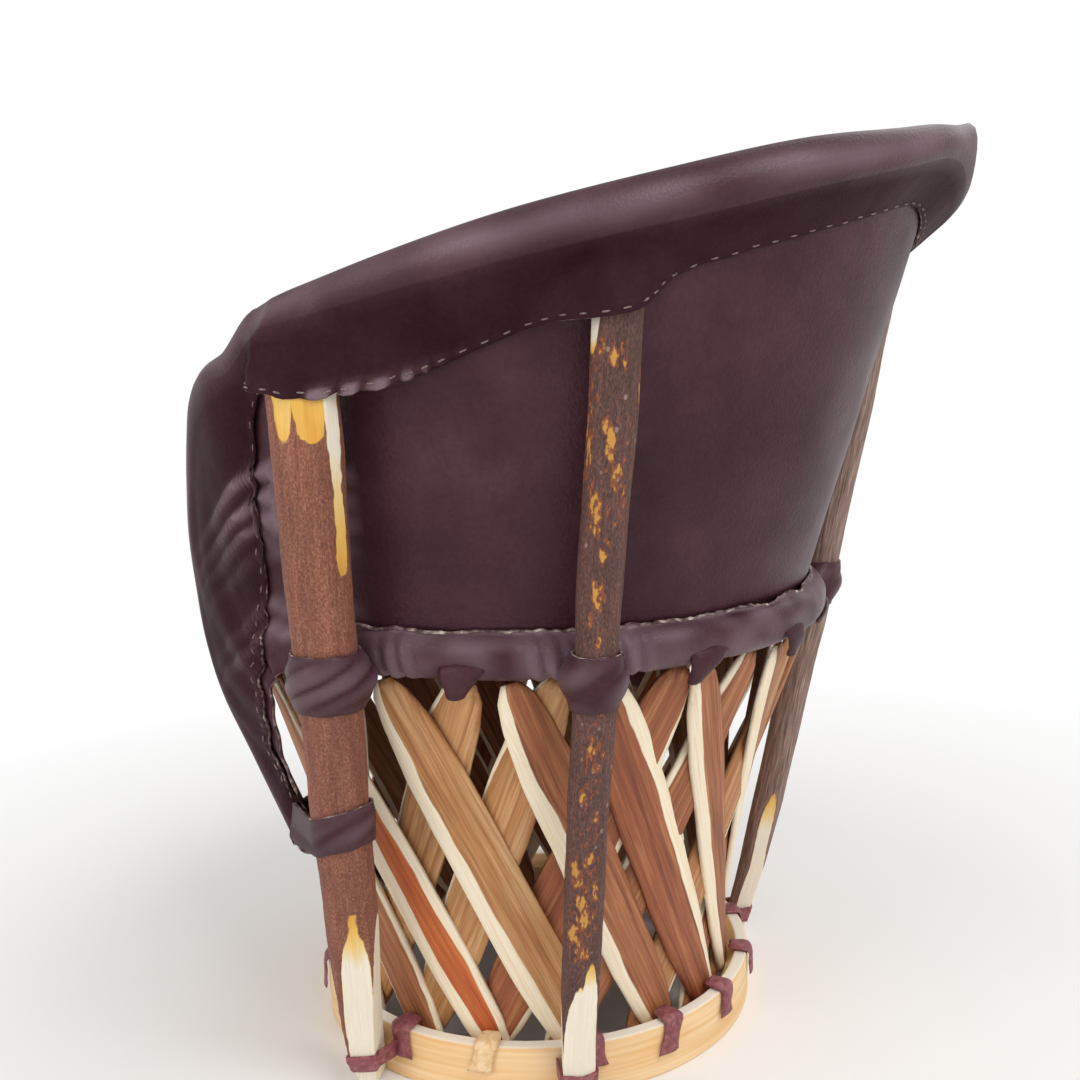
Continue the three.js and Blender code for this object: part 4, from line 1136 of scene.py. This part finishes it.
# The tree sets one blank at each place, along the three directions that the place gives, and crumples it.
set_tree, given = new_tree("ties and stitches set in place", Places="Geometry", Blank="Object",
                           Finish="Material", Crumple="Float", Crumple_scale="Float")
tree = set_tree
solid, parts = copies_at(tree, given["Places"], given["Blank"])
anchor, *ways = named_fields(tree, "FLOAT_VECTOR", "anchor", "across_way", "out_way", "up_way")
seed, = named_fields(tree, "FLOAT", "seed")
moved = anchor
for way, part in zip(ways, parts):
    step = add(tree, "VectorMath", [way, part], operation="SCALE")
    moved = add(tree, "VectorMath", [moved, step], operation="ADD")
rough = add(tree, "TexNoise", {"Vector": moved, "W": seed, "Scale": given["Crumple scale"], "Detail": 2},
            noise_dimensions="4D")
rough = add(tree, "Math", [rough, 0.5], operation="SUBTRACT")
rough = add(tree, "Math", [rough, given["Crumple"]], operation="MULTIPLY")
lift = add(tree, "VectorMath", [ways[1], rough], operation="SCALE")
finish_tree(tree, solid, add(tree, "VectorMath", [moved, lift], operation="ADD"), given["Finish"])


def strap_blank(name, track, thickness, crown):
    """A strap along rows of outward mm, upward mm and width share; x is its share of the half width."""
    points = []
    for i, (out, up, width) in enumerate(track):
        before, after = track[max(i - 1, 0)], track[min(i + 1, len(track) - 1)]
        ahead = Vector((after[0] - before[0], after[1] - before[1])).normalized()
        thin = thickness / 2 * (0.5 if i in (0, len(track) - 1) else 1)
        for share, lift in [(k / 4, 1) for k in range(-4, 5)] + [(k / 4, -1) for k in range(4, -5, -1)]:
            edge = thin * (0.4 if abs(share) == 1 else 1) * lift + crown * (1 - share * share)
            points.append((share * width, (out - ahead.y * edge) * mm, (up + ahead.x * edge) * mm))
    return blank_shape(name, points, tube_faces(len(track), 18, False))


def set_pieces(name, blank, finish, crumple, crumple_scale, places, slot_name):
    """Sets a blank at places, each an anchor in mm, three directions and a seed, as one piece."""
    anchors, *others = zip(*places)
    labels = ("anchor", "across_way", "out_way", "up_way", "seed")
    columns = dict(zip(labels, ([anchor * mm for anchor in anchors], *others)))
    grown(name, set_tree, marked_points(name + " places", columns),
          {"Blank": blank, "Finish": finish, "Crumple": crumple * mm, "Crumple scale": crumple_scale},
          slot_name)


# From between the slats, over the ring's top and down its face: outward from the face, up, width share.
ring_track = ((-19, 54, 0.6), (-18.6, 53, 0.8), (-16, 52.8, 0.94), (-10, 52.8, 1.04), (-4, 52.9, 1.1),
              (0, 52.2, 1.08), (2.3, 49.8, 1.02), (2.8, 46, 0.96), (2.7, 42, 0.92), (2.6, 38, 0.92),
              (2.7, 34, 0.96), (3, 30, 1.04), (3.6, 26.5, 1.14))
ring_strap = strap_blank("ring strap", ring_track, strap_thickness, 1.6)
# Where each tie crosses the ring, its slant, and how long its tail is.
ring_ties = ((93, -0.1, 1.1), (70.5, 0.25, 1.0), (45.5, -0.1, 0.9), (24, 0.35, 1.15), (3, 0.2, 1.0),
             (-19.5, -0.2, 1.1), (-42, 0.3, 1.0), (-64.5, -0.3, 1.15), (-87, 0.2, 1.0), (-109.5, -0.25, 1.1),
             (-132, 0.15, 0.95), (-154.5, -0.3, 1.05), (-177, 0.25, 1.1), (160.5, 0.1, 1.0), (138, -0.3, 1.1),
             (115.5, 0.2, 1.0))
ring_tie_half_width, rawhide_pair = 10.5, 1
tie_crumple, tie_crumple_scale = 3.2, 120
strap_places, rawhide_places = [], []
for pair, (bearing, slant, tail) in enumerate(ring_ties):
    out = around(1, bearing, 0)
    aside = Vector((out.y, -out.x, 0))
    anchor = around(ring_outer, bearing, ring_height * (1 - tail)) + aside * slant * ring_height
    place = (anchor, aside * ring_tie_half_width * mm, out, Vector((0, 0, tail)) - aside * slant, pair * 2.3)
    (rawhide_places if pair == rawhide_pair else strap_places).append(place)
set_pieces("cowhide_ring_ties", ring_strap, strap_leather, tie_crumple, tie_crumple_scale, strap_places,
           "tie_leather")
set_pieces("rawhide_ring_tie", ring_strap, rawhide, tie_crumple, tie_crumple_scale, rawhide_places,
           "tie_leather")

# From the underside of the roll down over the slats' tips: outward from the seat hoop, up, width share.
lobe_track = ((15, -4, 1.2), (19.4, -11, 1.16), (20, -17, 1.0), (18.4, -22, 0.8), (16, -27, 0.64),
              (14, -31, 0.54), (12.6, -34, 0.48), (11.8, -35.5, 0.42))
lobe_thickness, lobe_crown, lobe_half_width, lobe_shift, clear_of_post = 2.6, 2.6, 16.5, 14, 5
lobe_crumple, lobe_crumple_scale = 5, 95
lobe = strap_blank("slat tie lobe", lobe_track, lobe_thickness, lobe_crown)
places = []
for pair in range(pair_count):
    bearing = first_pair - pair_step * pair + (1.8, -2, 0, 2.4)[pair % 4]
    if min(abs(apart(bearing, post["bearings"][1])) for post in posts.values()) < clear_of_post:
        continue
    out = around(1, bearing, 0)
    aside = Vector((out.y, -out.x, 0))
    slant = (0.5, -0.3, 0.6, -0.45, 0.2)[pair % 5]
    anchor = around(seat_hoop_radius, bearing, seat_hoop_height) + aside * slant * lobe_shift
    places.append((anchor, aside * lobe_half_width * mm, out, Vector((0, 0, 1)) + aside * slant, pair * 1.7))
set_pieces("cowhide_slat_tie_lobes", lobe, leather, lobe_crumple, lobe_crumple_scale, places, "leather")
bpy.data.objects.remove(ring_strap)
bpy.data.objects.remove(lobe)


# Stitches. Waxed thread sews the flap down just above its hem, in short stitches 14 mm apart. Its two
# plies turn about once a millimetre.
thread, tree = new_material("waxed cotton thread")
plies = pattern(tree, add(tree, "TexCoord").outputs["Object"], (1.429,) * 3, {"Detail": 2})
wax = add(tree, "ValToRGB", [plies], ramp=[(0.35, "#5E4A4A"), (0.65, "#8F7A74")])
dress(tree, {"Base Color": wax, "Roughness": 0.55})

thread_radius, thread_sides, thread_lift, thread_sink = 0.75, 6, 0.4, 0.9
stitch_step, stitch_half, stitch_column = 14, 3.2, 4
stitch_track = ((-1, 0.25), (-0.8, 0.75), (-0.4, 1), (0.4, 1), (0.8, 0.75), (1, 0.25))
points = []
for along, size in stitch_track:
    sink = thread_sink if abs(along) == 1 else 0
    for side in range(thread_sides):
        turn = side * 2 * math.pi / thread_sides
        rise = math.sin(turn) * size * thread_radius - sink + thread_lift
        points.append((math.cos(turn) * size * thread_radius * mm, rise * mm, along * mm))
stitch = blank_shape("stitch", points, tube_faces(len(stitch_track), thread_sides, False))
places = []
sewn = 0
for i in range(2, stations - 2):
    spot = i * columns + columns - stitch_column
    sewn += (back_points[spot] - back_points[spot - columns]).length
    if sewn < stitch_step:
        continue
    sewn = 0
    way = (back_points[spot + columns] - back_points[spot - columns]).normalized()
    facing = (back_points[spot - 1] - back_points[spot]).cross(way).normalized()
    if facing.dot(frames[i][1]) < 0:
        facing = -facing
    anchor = back_points[spot] + facing * (hide_thickness / 2)
    places.append((anchor, facing.cross(way), facing, way * stitch_half, i * 0.37))
set_pieces("flap_stitches", stitch, thread, 0, 1, places, "tie_leather")
bpy.data.objects.remove(stitch)
